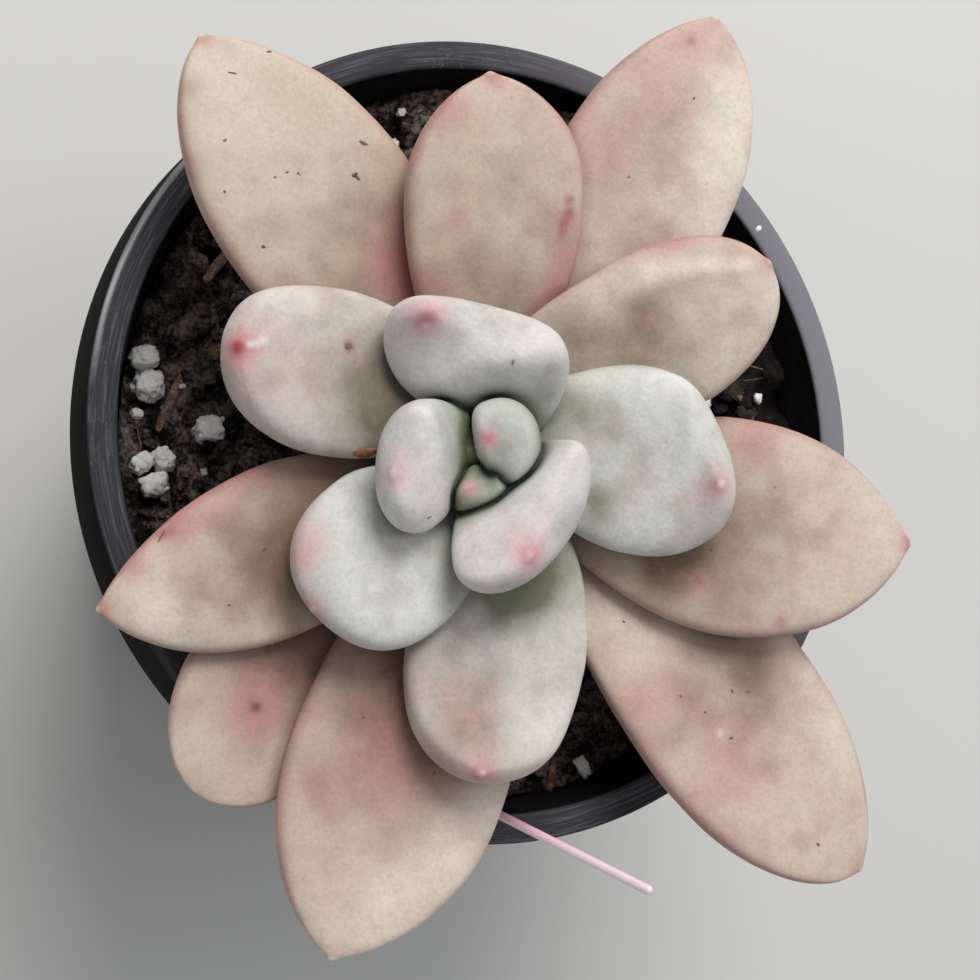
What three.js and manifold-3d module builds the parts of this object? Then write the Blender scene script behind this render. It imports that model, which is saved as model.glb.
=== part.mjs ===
import * as THREE from "three";
import { mergeVertices } from "three/addons/utils/BufferGeometryUtils.js";
import Module from "manifold-3d";

// A potted opalina graptoveria: a loose rosette of eighteen thick, mealy leaves on a short
// leaning stem, in a round black nursery pot with peat, bark and perlite.
// Millimetres and degrees, +Z up, origin at the middle of the pot's base. Seen from above,
// +X points to the right of the picture and +Y to its top.

const wasm = await Module();
wasm.setup();

const CLEARANCE = 0.3;
const ROUND_SIDES = 48;

// Pot: a 105 mm flat lip with a hanging, slightly flared collar, a wall that narrows downward, a drained base
const RIM_RADIUS = 52.5;
const RIM_HEIGHT = 80;
const LIP_WIDTH = 3.75;
const LIP_THICKNESS = 1.5;
const COLLAR_DEPTH = 10;
const COLLAR_WALL = 1.4;
const COLLAR_FLARE = 0.9;
const EDGE_ROUND = 0.45;
const WALL_THICKNESS = 1.6;
const WALL_SLOPE = 0.164;
const FLOOR_THICKNESS = 2.2;
const FOOT_WIDTH = 6;
const FOOT_DEPTH = 0.8;
const FOOT_DISC_RADIUS = 14;
const DRAIN_COUNT = 6;
const DRAIN_RADIUS = 3.5;
const DRAIN_CIRCLE = 24;
const DRAIN_SIDES = 16;

// Soil: peat to about 13 mm below the lip, a little higher toward +Y
const SOIL_LEVEL = 66.8;
const SOIL_RISE_X = -0.01;
const SOIL_RISE_Y = 0.045;
const SOIL_RINGS = 8;

// Stem: leans toward the light, and the leaves grow round it
const STEM_FOOT = new THREE.Vector3(4.1, 1, 59);
const STEM_TOP = new THREE.Vector3(-10.1, -4.8, 97);
const STEM_FOOT_RADIUS = 5.5;
const STEM_TOP_RADIUS = 2.6;
const STEM_CROWN = 3;
const STEM_SIDES = 14;

// Marker stick: a 1.2 mm plastic rod pushed into the soil, which leans out over the lip
const STICK_FOOT = new THREE.Vector3(-19.5, -35.8, 57.5);
const STICK_TIP = new THREE.Vector3(10.1, -57.5, 101);
const STICK_RADIUS = 0.6;
const STICK_SIDES = 10;

// Leaves
// from, at, root: azimuth round the stem, height on it and distance from its axis
// tip: the leaf's point; rise: slope at the root and at the tip
// bend: turn of the last stretch; push, pull: how far the root and tip slopes carry
// width, thick: the blade at its fullest; widest: where that is, root 0 to tip 1
// neck: width at the root, blunt: 0.5 a round end, 1 a straight point
// upper: share of the thickness above the middle line; cup: how far the margins turn up
// face: azimuth that the width is square to; aim: azimuth of the last stretch
// side: how far the point sits off the middle line, as a share of half the width
const LEAF_DEFAULTS = {
  root: 5,
  bend: 0,
  push: 0.35,
  pull: 0.33,
  widest: 0.6,
  neck: 0.42,
  blunt: 0.66,
  upper: 0.36,
  cup: 0.1,
  side: 0,
};

const LEAVES = {
  leaf_01: {
    from: 119, at: 80, tip: [-41, 44.5, 93], rise: [15, 8], bend: -11,
    width: 27.3, thick: 8, widest: 0.54, blunt: 0.72,
  },
  leaf_02: {
    from: 84, at: 84, tip: [-6, 42, 97], rise: [20, 18], bend: 8,
    width: 23.8, thick: 8.5, widest: 0.62, blunt: 0.64,
  },
  leaf_03: {
    from: 52, at: 81.5, tip: [25, 52, 98], rise: [20, 12], bend: 12,
    width: 24, thick: 8, widest: 0.58, blunt: 0.72,
  },
  leaf_04: {
    from: 35, at: 85.5, tip: [29.5, 19.5, 101], rise: [25, 15], bend: 6,
    width: 20.6, thick: 8.5, widest: 0.52, blunt: 0.57, neck: 0.55,
  },
  leaf_05: {
    from: -21, at: 83, tip: [51.5, -15.5, 96], rise: [22, 8], bend: 8,
    width: 27.8, thick: 8.5, widest: 0.58, blunt: 0.8,
  },
  leaf_06: {
    from: -34, at: 78.5, tip: [43.5, -57, 93], rise: [20, 8], bend: 9,
    width: 26.4, thick: 8.5, widest: 0.6, blunt: 0.62,
  },
  leaf_07: {
    from: -100, at: 81.5, tip: [-25.5, -64, 88], rise: [12, 3],
    width: 28.2, thick: 8.5, widest: 0.61, blunt: 0.72,
  },
  leaf_08: {
    from: -130, at: 79, tip: [-41.5, -44, 86], rise: [10, 5],
    width: 23.9, thick: 7, widest: 0.62, blunt: 0.53,
  },
  leaf_09: {
    from: -153, at: 84.5, tip: [-52.5, -23, 88], rise: [8, 2], bend: -14,
    width: 20.3, thick: 8, widest: 0.5, blunt: 0.78,
  },
  leaf_10: {
    from: 134, at: 88, tip: [-38, 6.5, 97], rise: [18, 65], pull: 0.25, face: 176, aim: 180,
    width: 20.4, thick: 9, widest: 0.48, blunt: 0.53, neck: 0.65, side: -0.28, upper: 0.42,
  },
  leaf_11: {
    from: -60, at: 87, tip: [-9.5, -43, 97], rise: [18, 62], pull: 0.28, face: -100, aim: -108,
    width: 22.9, thick: 9.5, widest: 0.52, blunt: 0.52, side: 0.02, upper: 0.42,
  },
  leaf_12: {
    from: -120, at: 89.5, tip: [-29, -23.5, 94.5], rise: [12, 16], pull: 0.25, face: -131,
    width: 21.4, thick: 8.5, widest: 0.5, blunt: 0.5, neck: 0.6, upper: 0.45,
  },
  leaf_13: {
    from: 4, at: 89, tip: [20.5, -8.5, 102], rise: [18, 105], pull: 0.28, face: 6, aim: 6,
    width: 23.4, thick: 9.5, widest: 0.5, blunt: 0.5, neck: 0.5, side: -0.2, upper: 0.42,
  },
  leaf_14: {
    from: 60, at: 91, root: 3.6, tip: [-16.5, 10.5, 103], rise: [28, 98], pull: 0.27, face: 82, aim: 90,
    width: 20.6, thick: 10, widest: 0.57, blunt: 0.5, neck: 0.66, side: 0.7, upper: 0.5, cup: 0.05,
  },
  leaf_15: {
    from: -50, at: 92.5, root: 4, tip: [-5.5, -18, 104], rise: [28, 88], pull: 0.27, face: -44, aim: -50,
    width: 21.4, thick: 9, widest: 0.64, blunt: 0.44, neck: 0.56, side: -0.52, upper: 0.46, cup: 0.22,
  },
  leaf_16: {
    from: 178, at: 94, root: 1, tip: [-21.5, -8.5, 103], rise: [15, 50], pull: 0.3, face: 168, aim: 172,
    width: 15.4, thick: 8, widest: 0.6, blunt: 0.5, neck: 0.7, upper: 0.48,
  },
  leaf_17: {
    from: 5, at: 94, root: 4.6, tip: [-9, -4, 101], rise: [62, 122], face: 12, aim: 12,
    width: 11.2, thick: 7.5, widest: 0.55, blunt: 0.5, neck: 0.7, upper: 0.42,
  },
  leaf_18: {
    from: -50, at: 93, root: 4.2, tip: [-11, -9.5, 99], rise: [70, 110], face: -70, aim: -60,
    width: 8, thick: 6, widest: 0.55, blunt: 0.5, neck: 0.8, upper: 0.5,
  },
};

// Inner leaves keep their form; each leaf further out gives way to those before it
const LEAVES_FROM_THE_HEART_OUT = [18, 17, 16, 15, 14, 13, 12, 11, 10, 4, 2, 5, 9, 3, 1, 7, 6, 8];
const LEAF_SIDES = 14;
const LEAF_STEPS = 12;
// The section is a little squarer than an ellipse; the blade is thickest just past its middle
const SECTION_POWER = 0.86;
const NECK_POWER = 1.3;
const TIP_POWER = 2.2;
const FULLEST = 0.55;
const ROOT_THICKNESS = 0.62;
const TIP_THICKNESS_POWER = 0.55;

function direction(azimuth, rise) {
  const a = THREE.MathUtils.degToRad(azimuth);
  const e = THREE.MathUtils.degToRad(rise);
  return new THREE.Vector3(Math.cos(e) * Math.cos(a), Math.cos(e) * Math.sin(a), Math.sin(e));
}

// A three.js geometry as one closed solid: seams are merged and flat faces at poles dropped
function solidOf(geometry) {
  geometry.deleteAttribute("normal");
  geometry.deleteAttribute("uv");
  const merged = mergeVertices(geometry, 1e-4);
  const corners = merged.index.array;
  const triVerts = [];
  for (let i = 0; i < corners.length; i += 3) {
    const [a, b, c] = [corners[i], corners[i + 1], corners[i + 2]];
    if (a !== b && b !== c && c !== a) {
      triVerts.push(a, b, c);
    }
  }
  return new wasm.Manifold(new wasm.Mesh({
    numProp: 3,
    vertProperties: new Float32Array(merged.attributes.position.array),
    triVerts: new Uint32Array(triVerts),
  }));
}

function meshOf(name, solid, color, roughness) {
  const cut = solid.getMesh();
  const geometry = new THREE.BufferGeometry();
  geometry.setAttribute("position", new THREE.BufferAttribute(cut.vertProperties, 3));
  geometry.setIndex(new THREE.BufferAttribute(cut.triVerts, 1));
  geometry.computeVertexNormals();
  const material = new THREE.MeshStandardMaterial({ color, roughness, metalness: 0 });
  const mesh = new THREE.Mesh(geometry, material);
  mesh.name = name;
  return mesh;
}

function largestPiece(solid) {
  const pieces = solid.decompose();
  pieces.sort((a, b) => b.volume() - a.volume());
  return pieces[0];
}

// Turned about the pot's axis from [radius, height] points
function turned(outline, sides) {
  const points = outline.map(([radius, height]) => new THREE.Vector2(radius, height));
  return new THREE.LatheGeometry(points, sides).rotateX(Math.PI / 2);
}

// A round bar between two points, with another radius at its far end and a domed head
function bar(foot, head, footRadius, headRadius, sides, dome) {
  const length = foot.distanceTo(head);
  const outline = [[0, 0], [footRadius, 0], [headRadius, length - dome]];
  if (dome > 0) {
    const halfway = Math.SQRT1_2;
    outline.push([headRadius * halfway, length - dome * (1 - halfway)]);
  }
  outline.push([0, length]);
  const geometry = turned(outline, sides);
  const along = head.clone().sub(foot).normalize();
  geometry.applyQuaternion(new THREE.Quaternion().setFromUnitVectors(new THREE.Vector3(0, 0, 1), along));
  geometry.translate(foot.x, foot.y, foot.z);
  return solidOf(geometry);
}

function innerWallRadius(height) {
  return RIM_RADIUS - LIP_WIDTH - (RIM_HEIGHT - height) * WALL_SLOPE;
}

function potSolid() {
  const lip = RIM_RADIUS - LIP_WIDTH;
  const outerWall = (height) => innerWallRadius(height) + WALL_THICKNESS;
  const lipUnderside = RIM_HEIGHT - LIP_THICKNESS;
  const collarFoot = RIM_HEIGHT - COLLAR_DEPTH;
  const base = outerWall(0) - EDGE_ROUND;
  const outline = [
    [0, 0],
    [FOOT_DISC_RADIUS, 0],
    [FOOT_DISC_RADIUS + FOOT_DEPTH, FOOT_DEPTH],
    [base - FOOT_WIDTH, FOOT_DEPTH],
    [base - FOOT_WIDTH + FOOT_DEPTH, 0],
    [base, 0],
    [outerWall(EDGE_ROUND * 2), EDGE_ROUND * 2],
    [outerWall(lipUnderside), lipUnderside],
    [RIM_RADIUS - COLLAR_WALL, lipUnderside],
    [RIM_RADIUS - COLLAR_WALL + COLLAR_FLARE, collarFoot],
    [RIM_RADIUS + COLLAR_FLARE, collarFoot],
    [RIM_RADIUS, RIM_HEIGHT - EDGE_ROUND],
    [RIM_RADIUS - EDGE_ROUND, RIM_HEIGHT],
    [lip + EDGE_ROUND, RIM_HEIGHT],
    [innerWallRadius(RIM_HEIGHT - EDGE_ROUND), RIM_HEIGHT - EDGE_ROUND],
    [innerWallRadius(FLOOR_THICKNESS), FLOOR_THICKNESS],
    [0, FLOOR_THICKNESS],
  ];
  let pot = solidOf(turned(outline, ROUND_SIDES));
  for (let i = 0; i < DRAIN_COUNT; i++) {
    const spoke = direction((360 / DRAIN_COUNT) * (i + 0.5), 0).multiplyScalar(DRAIN_CIRCLE);
    const below = spoke.clone().setZ(-FLOOR_THICKNESS);
    const above = spoke.clone().setZ(FLOOR_THICKNESS * 2);
    pot = pot.subtract(bar(below, above, DRAIN_RADIUS, DRAIN_RADIUS, DRAIN_SIDES, 0));
  }
  return pot;
}

function soilHeight(x, y) {
  const swell = 0.55 * Math.sin(0.21 * x + 1.3) * Math.cos(0.17 * y - 0.4);
  const clods = 0.4 * Math.sin(0.71 * x - 0.52 * y + 0.8) + 0.3 * Math.cos(0.33 * x + 0.83 * y);
  return SOIL_LEVEL + SOIL_RISE_X * x + SOIL_RISE_Y * y + swell + clods;
}

// Grains and chips that lie sunk in the peat by more than a third of their height:
// [x, y, length, width, height, turn]
const GRAIN_LIFT = 0.12;
const PERLITE_FORM = { sides: 7, steps: 5, block: 0.15 };
const BARK_FORM = { sides: 6, steps: 4, block: 0.6 };
const PERLITE = [
  [-43.2, 10.2, 3.9, 2.8, 2.6, 10],
  [-42.7, 6.9, 4.3, 4, 3.4, 70],
  [-34.9, 1.2, 3.8, 3.5, 3, 0],
  [-43.6, -3.2, 3.2, 2.6, 2.4, 40],
  [-40.6, -2.6, 3.4, 2.9, 2.8, 110],
  [-42, -6, 3.9, 3.1, 2.6, 20],
  [-44, 3.2, 1.6, 1.4, 1.2, 0],
  [-9.4, 40.9, 1.7, 1.5, 1.3, 30],
  [-6.5, 44.6, 1.4, 1.2, 1.1, 0],
  [37.7, 7.2, 3, 2.4, 2.2, 60],
  [10.9, -43, 1.8, 1.5, 1.3, 15],
  [18.6, -41.8, 2.9, 1.7, 1.6, -60],
  [-33.9, 11.4, 2.6, 1.9, 1.6, 20],
  [44.3, 8.5, 2, 1.6, 1.4, 80],
  [27, -33, 2.2, 1.8, 1.6, 45],
  [-24, 31, 2.4, 2, 1.7, 130],
];
const BARK = [
  [-39.8, 19, 3.6, 2.6, 1.6, 40],
  [-39.8, 4.8, 8.6, 1.3, 1.2, 66],
  [-33.8, 22.8, 6, 1.4, 1.2, 52],
  [13.3, -41.5, 5.6, 1.2, 1.2, 90],
  [43.6, 13.4, 5, 1, 1, 120],
  [-30, 17.5, 4.6, 3, 1.6, -20],
  [-27.5, 27.5, 5, 3.2, 1.8, 75],
  [24.5, -37.5, 5.4, 3, 1.6, 30],
  [7.5, -42.5, 4.4, 2.8, 1.4, -35],
  [33, 27, 6, 3.4, 1.8, 15],
  [39.5, 18, 4.8, 2.6, 1.6, 100],
  [-20, -33, 6.2, 3.6, 1.8, 140],
  [30, -18, 6.4, 3.6, 1.8, 60],
  [-14, 36, 5, 2.8, 1.6, -50],
];

function grain([x, y, length, width, height, turn], kind) {
  const geometry = new THREE.SphereGeometry(0.5, kind.sides, kind.steps);
  const place = geometry.attributes.position;
  const point = new THREE.Vector3();
  for (let i = 0; i < place.count; i++) {
    point.fromBufferAttribute(place, i);
    // block 1 would press the ball out to a full box
    const reach = Math.max(Math.abs(point.x), Math.abs(point.y), Math.abs(point.z)) * 2;
    point.multiplyScalar(1 + kind.block * (1 / reach - 1));
    place.setXYZ(i, point.x * length, point.y * width, point.z * height);
  }
  geometry.rotateZ(THREE.MathUtils.degToRad(turn));
  geometry.translate(x, y, soilHeight(x, y) + GRAIN_LIFT * height);
  return solidOf(geometry);
}

function soilSolid() {
  const floor = FLOOR_THICKNESS + CLEARANCE;
  const wall = innerWallRadius(SOIL_LEVEL) - CLEARANCE;
  const outline = [[0, floor], [innerWallRadius(floor) - CLEARANCE, floor]];
  for (let ring = SOIL_RINGS; ring >= 0; ring--) {
    outline.push([(wall * ring) / SOIL_RINGS, SOIL_LEVEL]);
  }
  const geometry = turned(outline, ROUND_SIDES);
  const place = geometry.attributes.position;
  for (let i = 0; i < place.count; i++) {
    const x = place.getX(i);
    const y = place.getY(i);
    if (place.getZ(i) > SOIL_LEVEL - CLEARANCE) {
      const height = soilHeight(x, y);
      const spread = (innerWallRadius(height) - CLEARANCE) / wall;
      place.setXYZ(i, x * spread, y * spread, height);
    }
  }
  let soil = solidOf(geometry);
  for (const row of PERLITE) {
    soil = soil.add(grain(row, PERLITE_FORM));
  }
  for (const row of BARK) {
    soil = soil.add(grain(row, BARK_FORM));
  }
  const bore = [
    [0, 0],
    [innerWallRadius(0) - CLEARANCE, 0],
    [innerWallRadius(RIM_HEIGHT) - CLEARANCE, RIM_HEIGHT],
    [0, RIM_HEIGHT],
  ];
  return soil.intersect(solidOf(turned(bore, ROUND_SIDES)));
}

function stemSolid(extra) {
  const along = STEM_TOP.clone().sub(STEM_FOOT).normalize();
  const foot = STEM_FOOT.clone().addScaledVector(along, -extra);
  const head = STEM_TOP.clone().addScaledVector(along, extra);
  return bar(foot, head, STEM_FOOT_RADIUS + extra, STEM_TOP_RADIUS + extra, STEM_SIDES, STEM_CROWN);
}

function stickSolid(extra) {
  const along = STICK_TIP.clone().sub(STICK_FOOT).normalize();
  const foot = STICK_FOOT.clone().addScaledVector(along, -extra);
  const head = STICK_TIP.clone().addScaledVector(along, extra);
  return bar(foot, head, STICK_RADIUS + extra, STICK_RADIUS + extra, STICK_SIDES, STICK_RADIUS);
}

// The middle line of a leaf, a cubic from the stem to the point, with its width direction
function leafSpine(leaf) {
  const up = (leaf.at - STEM_FOOT.z) / (STEM_TOP.z - STEM_FOOT.z);
  const start = STEM_FOOT.clone().lerp(STEM_TOP, up).addScaledVector(direction(leaf.from, 0), leaf.root);
  const point = new THREE.Vector3(...leaf.tip);
  const end = point.clone();
  if (leaf.side !== 0) {
    const last = direction(leaf.aim, leaf.rise[1]);
    const across = direction(leaf.face + 90, 0);
    across.addScaledVector(last, -across.dot(last)).normalize();
    end.addScaledVector(across, -leaf.side * 0.5 * leaf.width);
  }
  const chord = end.clone().sub(start);
  const heading = THREE.MathUtils.radToDeg(Math.atan2(chord.y, chord.x));
  const aim = leaf.aim ?? heading + leaf.bend;
  const first = direction(leaf.from, leaf.rise[0]).multiplyScalar(leaf.push * chord.length());
  const last = direction(aim, leaf.rise[1]).multiplyScalar(leaf.pull * chord.length());
  const curve = new THREE.CubicBezierCurve3(start, start.clone().add(first), end.clone().sub(last), end);
  return { curve, point, across: direction((leaf.face ?? heading) + 90, 0) };
}

// How full the blade is at u, as a share of its greatest width and thickness
function blade(leaf, u) {
  const past = (u - leaf.widest) / (1 - leaf.widest);
  const width = past < 0
    ? leaf.neck + (1 - leaf.neck) * Math.sin((Math.PI / 2) * (u / leaf.widest)) ** NECK_POWER
    : (1 - past ** TIP_POWER) ** leaf.blunt;
  const over = (u - FULLEST) / (1 - FULLEST);
  const thickness = over < 0
    ? ROOT_THICKNESS + (1 - ROOT_THICKNESS) * Math.sin((Math.PI / 2) * (u / FULLEST))
    : (1 - over ** TIP_POWER) ** TIP_THICKNESS_POWER;
  return { width, thickness };
}

// A leaf is a ball pulled along its middle line; extra makes it that much bigger all round
function leafSolid(leaf, extra) {
  const { curve, point, across } = leafSpine(leaf);
  const geometry = new THREE.SphereGeometry(1, LEAF_SIDES, LEAF_STEPS);
  const place = geometry.attributes.position;
  const ball = new THREE.Vector3();
  for (let i = 0; i < place.count; i++) {
    ball.fromBufferAttribute(place, i);
    const u = Math.min(Math.max((1 + ball.y) / 2, 0), 1);
    const round = Math.hypot(ball.x, ball.z);
    const along = curve.getTangent(u);
    const side = across.clone().addScaledVector(along, -across.dot(along)).normalize();
    const normal = new THREE.Vector3().crossVectors(along, side);
    if (round < 1e-6) {
      const pole = u > 0.5 ? point.clone() : curve.getPoint(0);
      pole.addScaledVector(along, extra * ball.y);
      place.setXYZ(i, pole.x, pole.y, pole.z);
      continue;
    }
    const fullness = blade(leaf, u);
    const x = Math.sign(ball.x) * Math.abs(ball.x / round) ** SECTION_POWER;
    const y = -Math.sign(ball.z) * Math.abs(ball.z / round) ** SECTION_POWER;
    const half = 0.5 * leaf.width * fullness.width;
    const share = y > 0 ? leaf.upper : 1 - leaf.upper;
    const lift = (leaf.thick * share * fullness.thickness + extra) * y + leaf.cup * half * x * x;
    const off = (half + extra) * x + leaf.side * 0.5 * leaf.width * u ** 3;
    const spot = curve.getPoint(u).addScaledVector(side, off).addScaledVector(normal, lift);
    spot.addScaledVector(along, extra * ball.y);
    place.setXYZ(i, spot.x, spot.y, spot.z);
  }
  return solidOf(geometry);
}

const LEAF_TINTS = {
  outer: 0xc4b3a4,
  middle: 0xcfcac1,
  inner: 0xc9cdc5,
  heart: 0xacb5a0,
};

function leafTint(number) {
  if (number >= 17) return LEAF_TINTS.heart;
  if (number >= 14) return LEAF_TINTS.inner;
  return number >= 10 ? LEAF_TINTS.middle : LEAF_TINTS.outer;
}

const potted = new THREE.Group();

const pot = potSolid();
const soil = soilSolid().subtract(stemSolid(CLEARANCE)).subtract(stickSolid(CLEARANCE));
potted.add(meshOf("pot", pot, 0x2e2c30, 0.5));
potted.add(meshOf("soil", soil, 0x2b211c, 0.95));
potted.add(meshOf("stem", stemSolid(0), 0x8b8d68, 0.7));
potted.add(meshOf("marker_stick", stickSolid(0), 0xe598b6, 0.4));

let taken = stemSolid(CLEARANCE);
const leafSolids = {};
for (const number of LEAVES_FROM_THE_HEART_OUT) {
  const name = `leaf_${String(number).padStart(2, "0")}`;
  const leaf = { ...LEAF_DEFAULTS, ...LEAVES[name] };
  leafSolids[name] = largestPiece(leafSolid(leaf, 0).subtract(taken));
  taken = taken.add(leafSolid(leaf, CLEARANCE));
}
for (const name of Object.keys(LEAVES)) {
  potted.add(meshOf(name, leafSolids[name], leafTint(Number(name.slice(-2))), 0.6));
}

export default potted;
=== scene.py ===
# %% [markdown]
# # A potted opalina graptoveria
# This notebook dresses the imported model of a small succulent: eighteen thick, powdery leaves on a
# short leaning stem, in a black nursery pot with peat, bark and perlite. The frame gives every
# piece its place, so the cells only have to give each one its fine form and its finish.

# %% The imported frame
import bmesh
import bpy
import math
import random
from functools import partial
import numpy as np
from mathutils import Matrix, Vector, noise
from mathutils.bvhtree import BVHTree


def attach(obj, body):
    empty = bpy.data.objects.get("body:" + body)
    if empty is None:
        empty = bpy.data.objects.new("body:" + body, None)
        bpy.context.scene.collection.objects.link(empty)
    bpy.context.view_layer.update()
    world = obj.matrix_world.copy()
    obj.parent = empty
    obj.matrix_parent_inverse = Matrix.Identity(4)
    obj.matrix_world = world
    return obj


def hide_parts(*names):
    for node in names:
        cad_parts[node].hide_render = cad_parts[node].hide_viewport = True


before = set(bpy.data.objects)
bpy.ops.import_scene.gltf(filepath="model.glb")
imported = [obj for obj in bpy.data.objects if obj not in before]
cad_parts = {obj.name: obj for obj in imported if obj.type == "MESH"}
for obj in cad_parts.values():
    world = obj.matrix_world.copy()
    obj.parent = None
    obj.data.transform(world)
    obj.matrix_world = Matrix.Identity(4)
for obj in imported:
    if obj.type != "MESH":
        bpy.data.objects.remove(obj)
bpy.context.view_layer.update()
MM = 0.001

# %% [markdown]
# ## The camera
# The picture looks down on the pot, tilted about 23 degrees, so that the left side of the pot is
# nearer. The distance shows in how fast things shrink with depth: at 250 mm from the rim, leaves
# that stand 20 mm higher look clearly bigger. The camera is placed from those real values. Another
# way is to aim it by eye, but then no leaf could be measured.

# %% Camera
RIM_HEIGHT = 80.0
CAMERA_DISTANCE = 250.0
CAMERA_TILT = math.radians(23.0)
CAMERA_SIDE = Vector((-0.93, -0.37, 0.0)).normalized()
PICTURE = 980
FOCAL_PIXELS = 1926.8
RIM_CENTRE_PIXEL = (494.6, 433.6)
SENSOR_WIDTH = 36.0

to_camera = CAMERA_SIDE * math.sin(CAMERA_TILT) + Vector((0, 0, math.cos(CAMERA_TILT)))
rim_in_view = Vector((
    RIM_CENTRE_PIXEL[0] - PICTURE / 2,
    PICTURE / 2 - RIM_CENTRE_PIXEL[1],
    -FOCAL_PIXELS,
)).normalized()
turn = Vector((0, 0, 1)).rotation_difference(to_camera)
aim = rim_in_view.rotation_difference(Vector((0, 0, -1)))


def placed(name, data):
    """A new object with this data, linked to the scene."""
    made = bpy.data.objects.new(name, data)
    bpy.context.scene.collection.objects.link(made)
    return made


camera_data = bpy.data.cameras.new("camera")
camera_data.sensor_fit = "HORIZONTAL"
camera_data.sensor_width = SENSOR_WIDTH
camera_data.lens = SENSOR_WIDTH * FOCAL_PIXELS / PICTURE
camera_data.clip_start = 0.01
camera = placed("camera", camera_data)
camera.rotation_mode = "QUATERNION"
camera.rotation_quaternion = turn @ aim
camera.location = (Vector((0, 0, RIM_HEIGHT)) + to_camera * CAMERA_DISTANCE) * MM
bpy.context.scene.camera = camera
print("camera at", tuple(round(v, 4) for v in camera.location), "lens", round(camera_data.lens, 2))

# %% [markdown]
# ## Small tools
# A few helpers are enough: one turns an sRGB hex value into the linear colour that shaders use,
# one adds a node with its settings and links, and one makes a mesh object out of points and
# faces in millimetres. Blender's modifiers could build most shapes too, but a leaf that is grown
# by a formula has to be written point by point.

# %% Helpers
def linear(hex_colour):
    channels = [int(hex_colour[i:i + 2], 16) / 255 for i in (1, 3, 5)]
    curve = [c / 12.92 if c <= 0.04045 else ((c + 0.055) / 1.055) ** 2.4 for c in channels]
    return (*curve, 1.0)


def add_node(tree, kind, mode=None, *values, **settings):
    """Add a shader node: its operation or data type, then values for the inputs in use, in order.
    A setting in lower case is a property of the node, any other an input by its name. Nodes and
    sockets are linked, numbers and hex colours set."""
    made = tree.nodes.new("ShaderNode" + kind)
    if mode:
        setattr(made, "data_type" if kind == "Mix" else "operation", mode)
    given = list(zip([socket for socket in made.inputs if socket.enabled], values))
    for name, value in settings.items():
        if name[0].islower():
            setattr(made, name, value)
        else:
            given.append((made.inputs[name.replace("_", " ")], value))
    for socket, value in given:
        if isinstance(value, bpy.types.Node):
            value = next(way for way in value.outputs if way.enabled)
        if isinstance(value, bpy.types.NodeSocket):
            tree.links.new(value, socket)
        else:
            socket.default_value = linear(value) if isinstance(value, str) else value
    return made


def new_material(name):
    """An empty material, and the call that adds a node to it."""
    material = bpy.data.materials.new(name)
    material.use_nodes = True
    material.node_tree.nodes.clear()
    return material, partial(add_node, material.node_tree)


def mesh_of(name, points, faces):
    mesh = bpy.data.meshes.new(name)
    mesh.from_pydata([tuple(p) for p in np.asarray(points, float) * MM], [], faces)
    return mesh


def piece_from(name, points, faces, material, slot, smooth=True):
    mesh = mesh_of(name, points, faces)
    mesh.materials.append(material)
    mesh.polygons.foreach_set("use_smooth", [smooth] * len(mesh.polygons))
    mesh.update()
    piece = placed(name, mesh)
    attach(piece, "root")
    return piece


def per_mm(size):
    """The scale of a texture whose features are this many millimetres across."""
    return 1.0 / (size * MM)


print("helpers ready")
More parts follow.
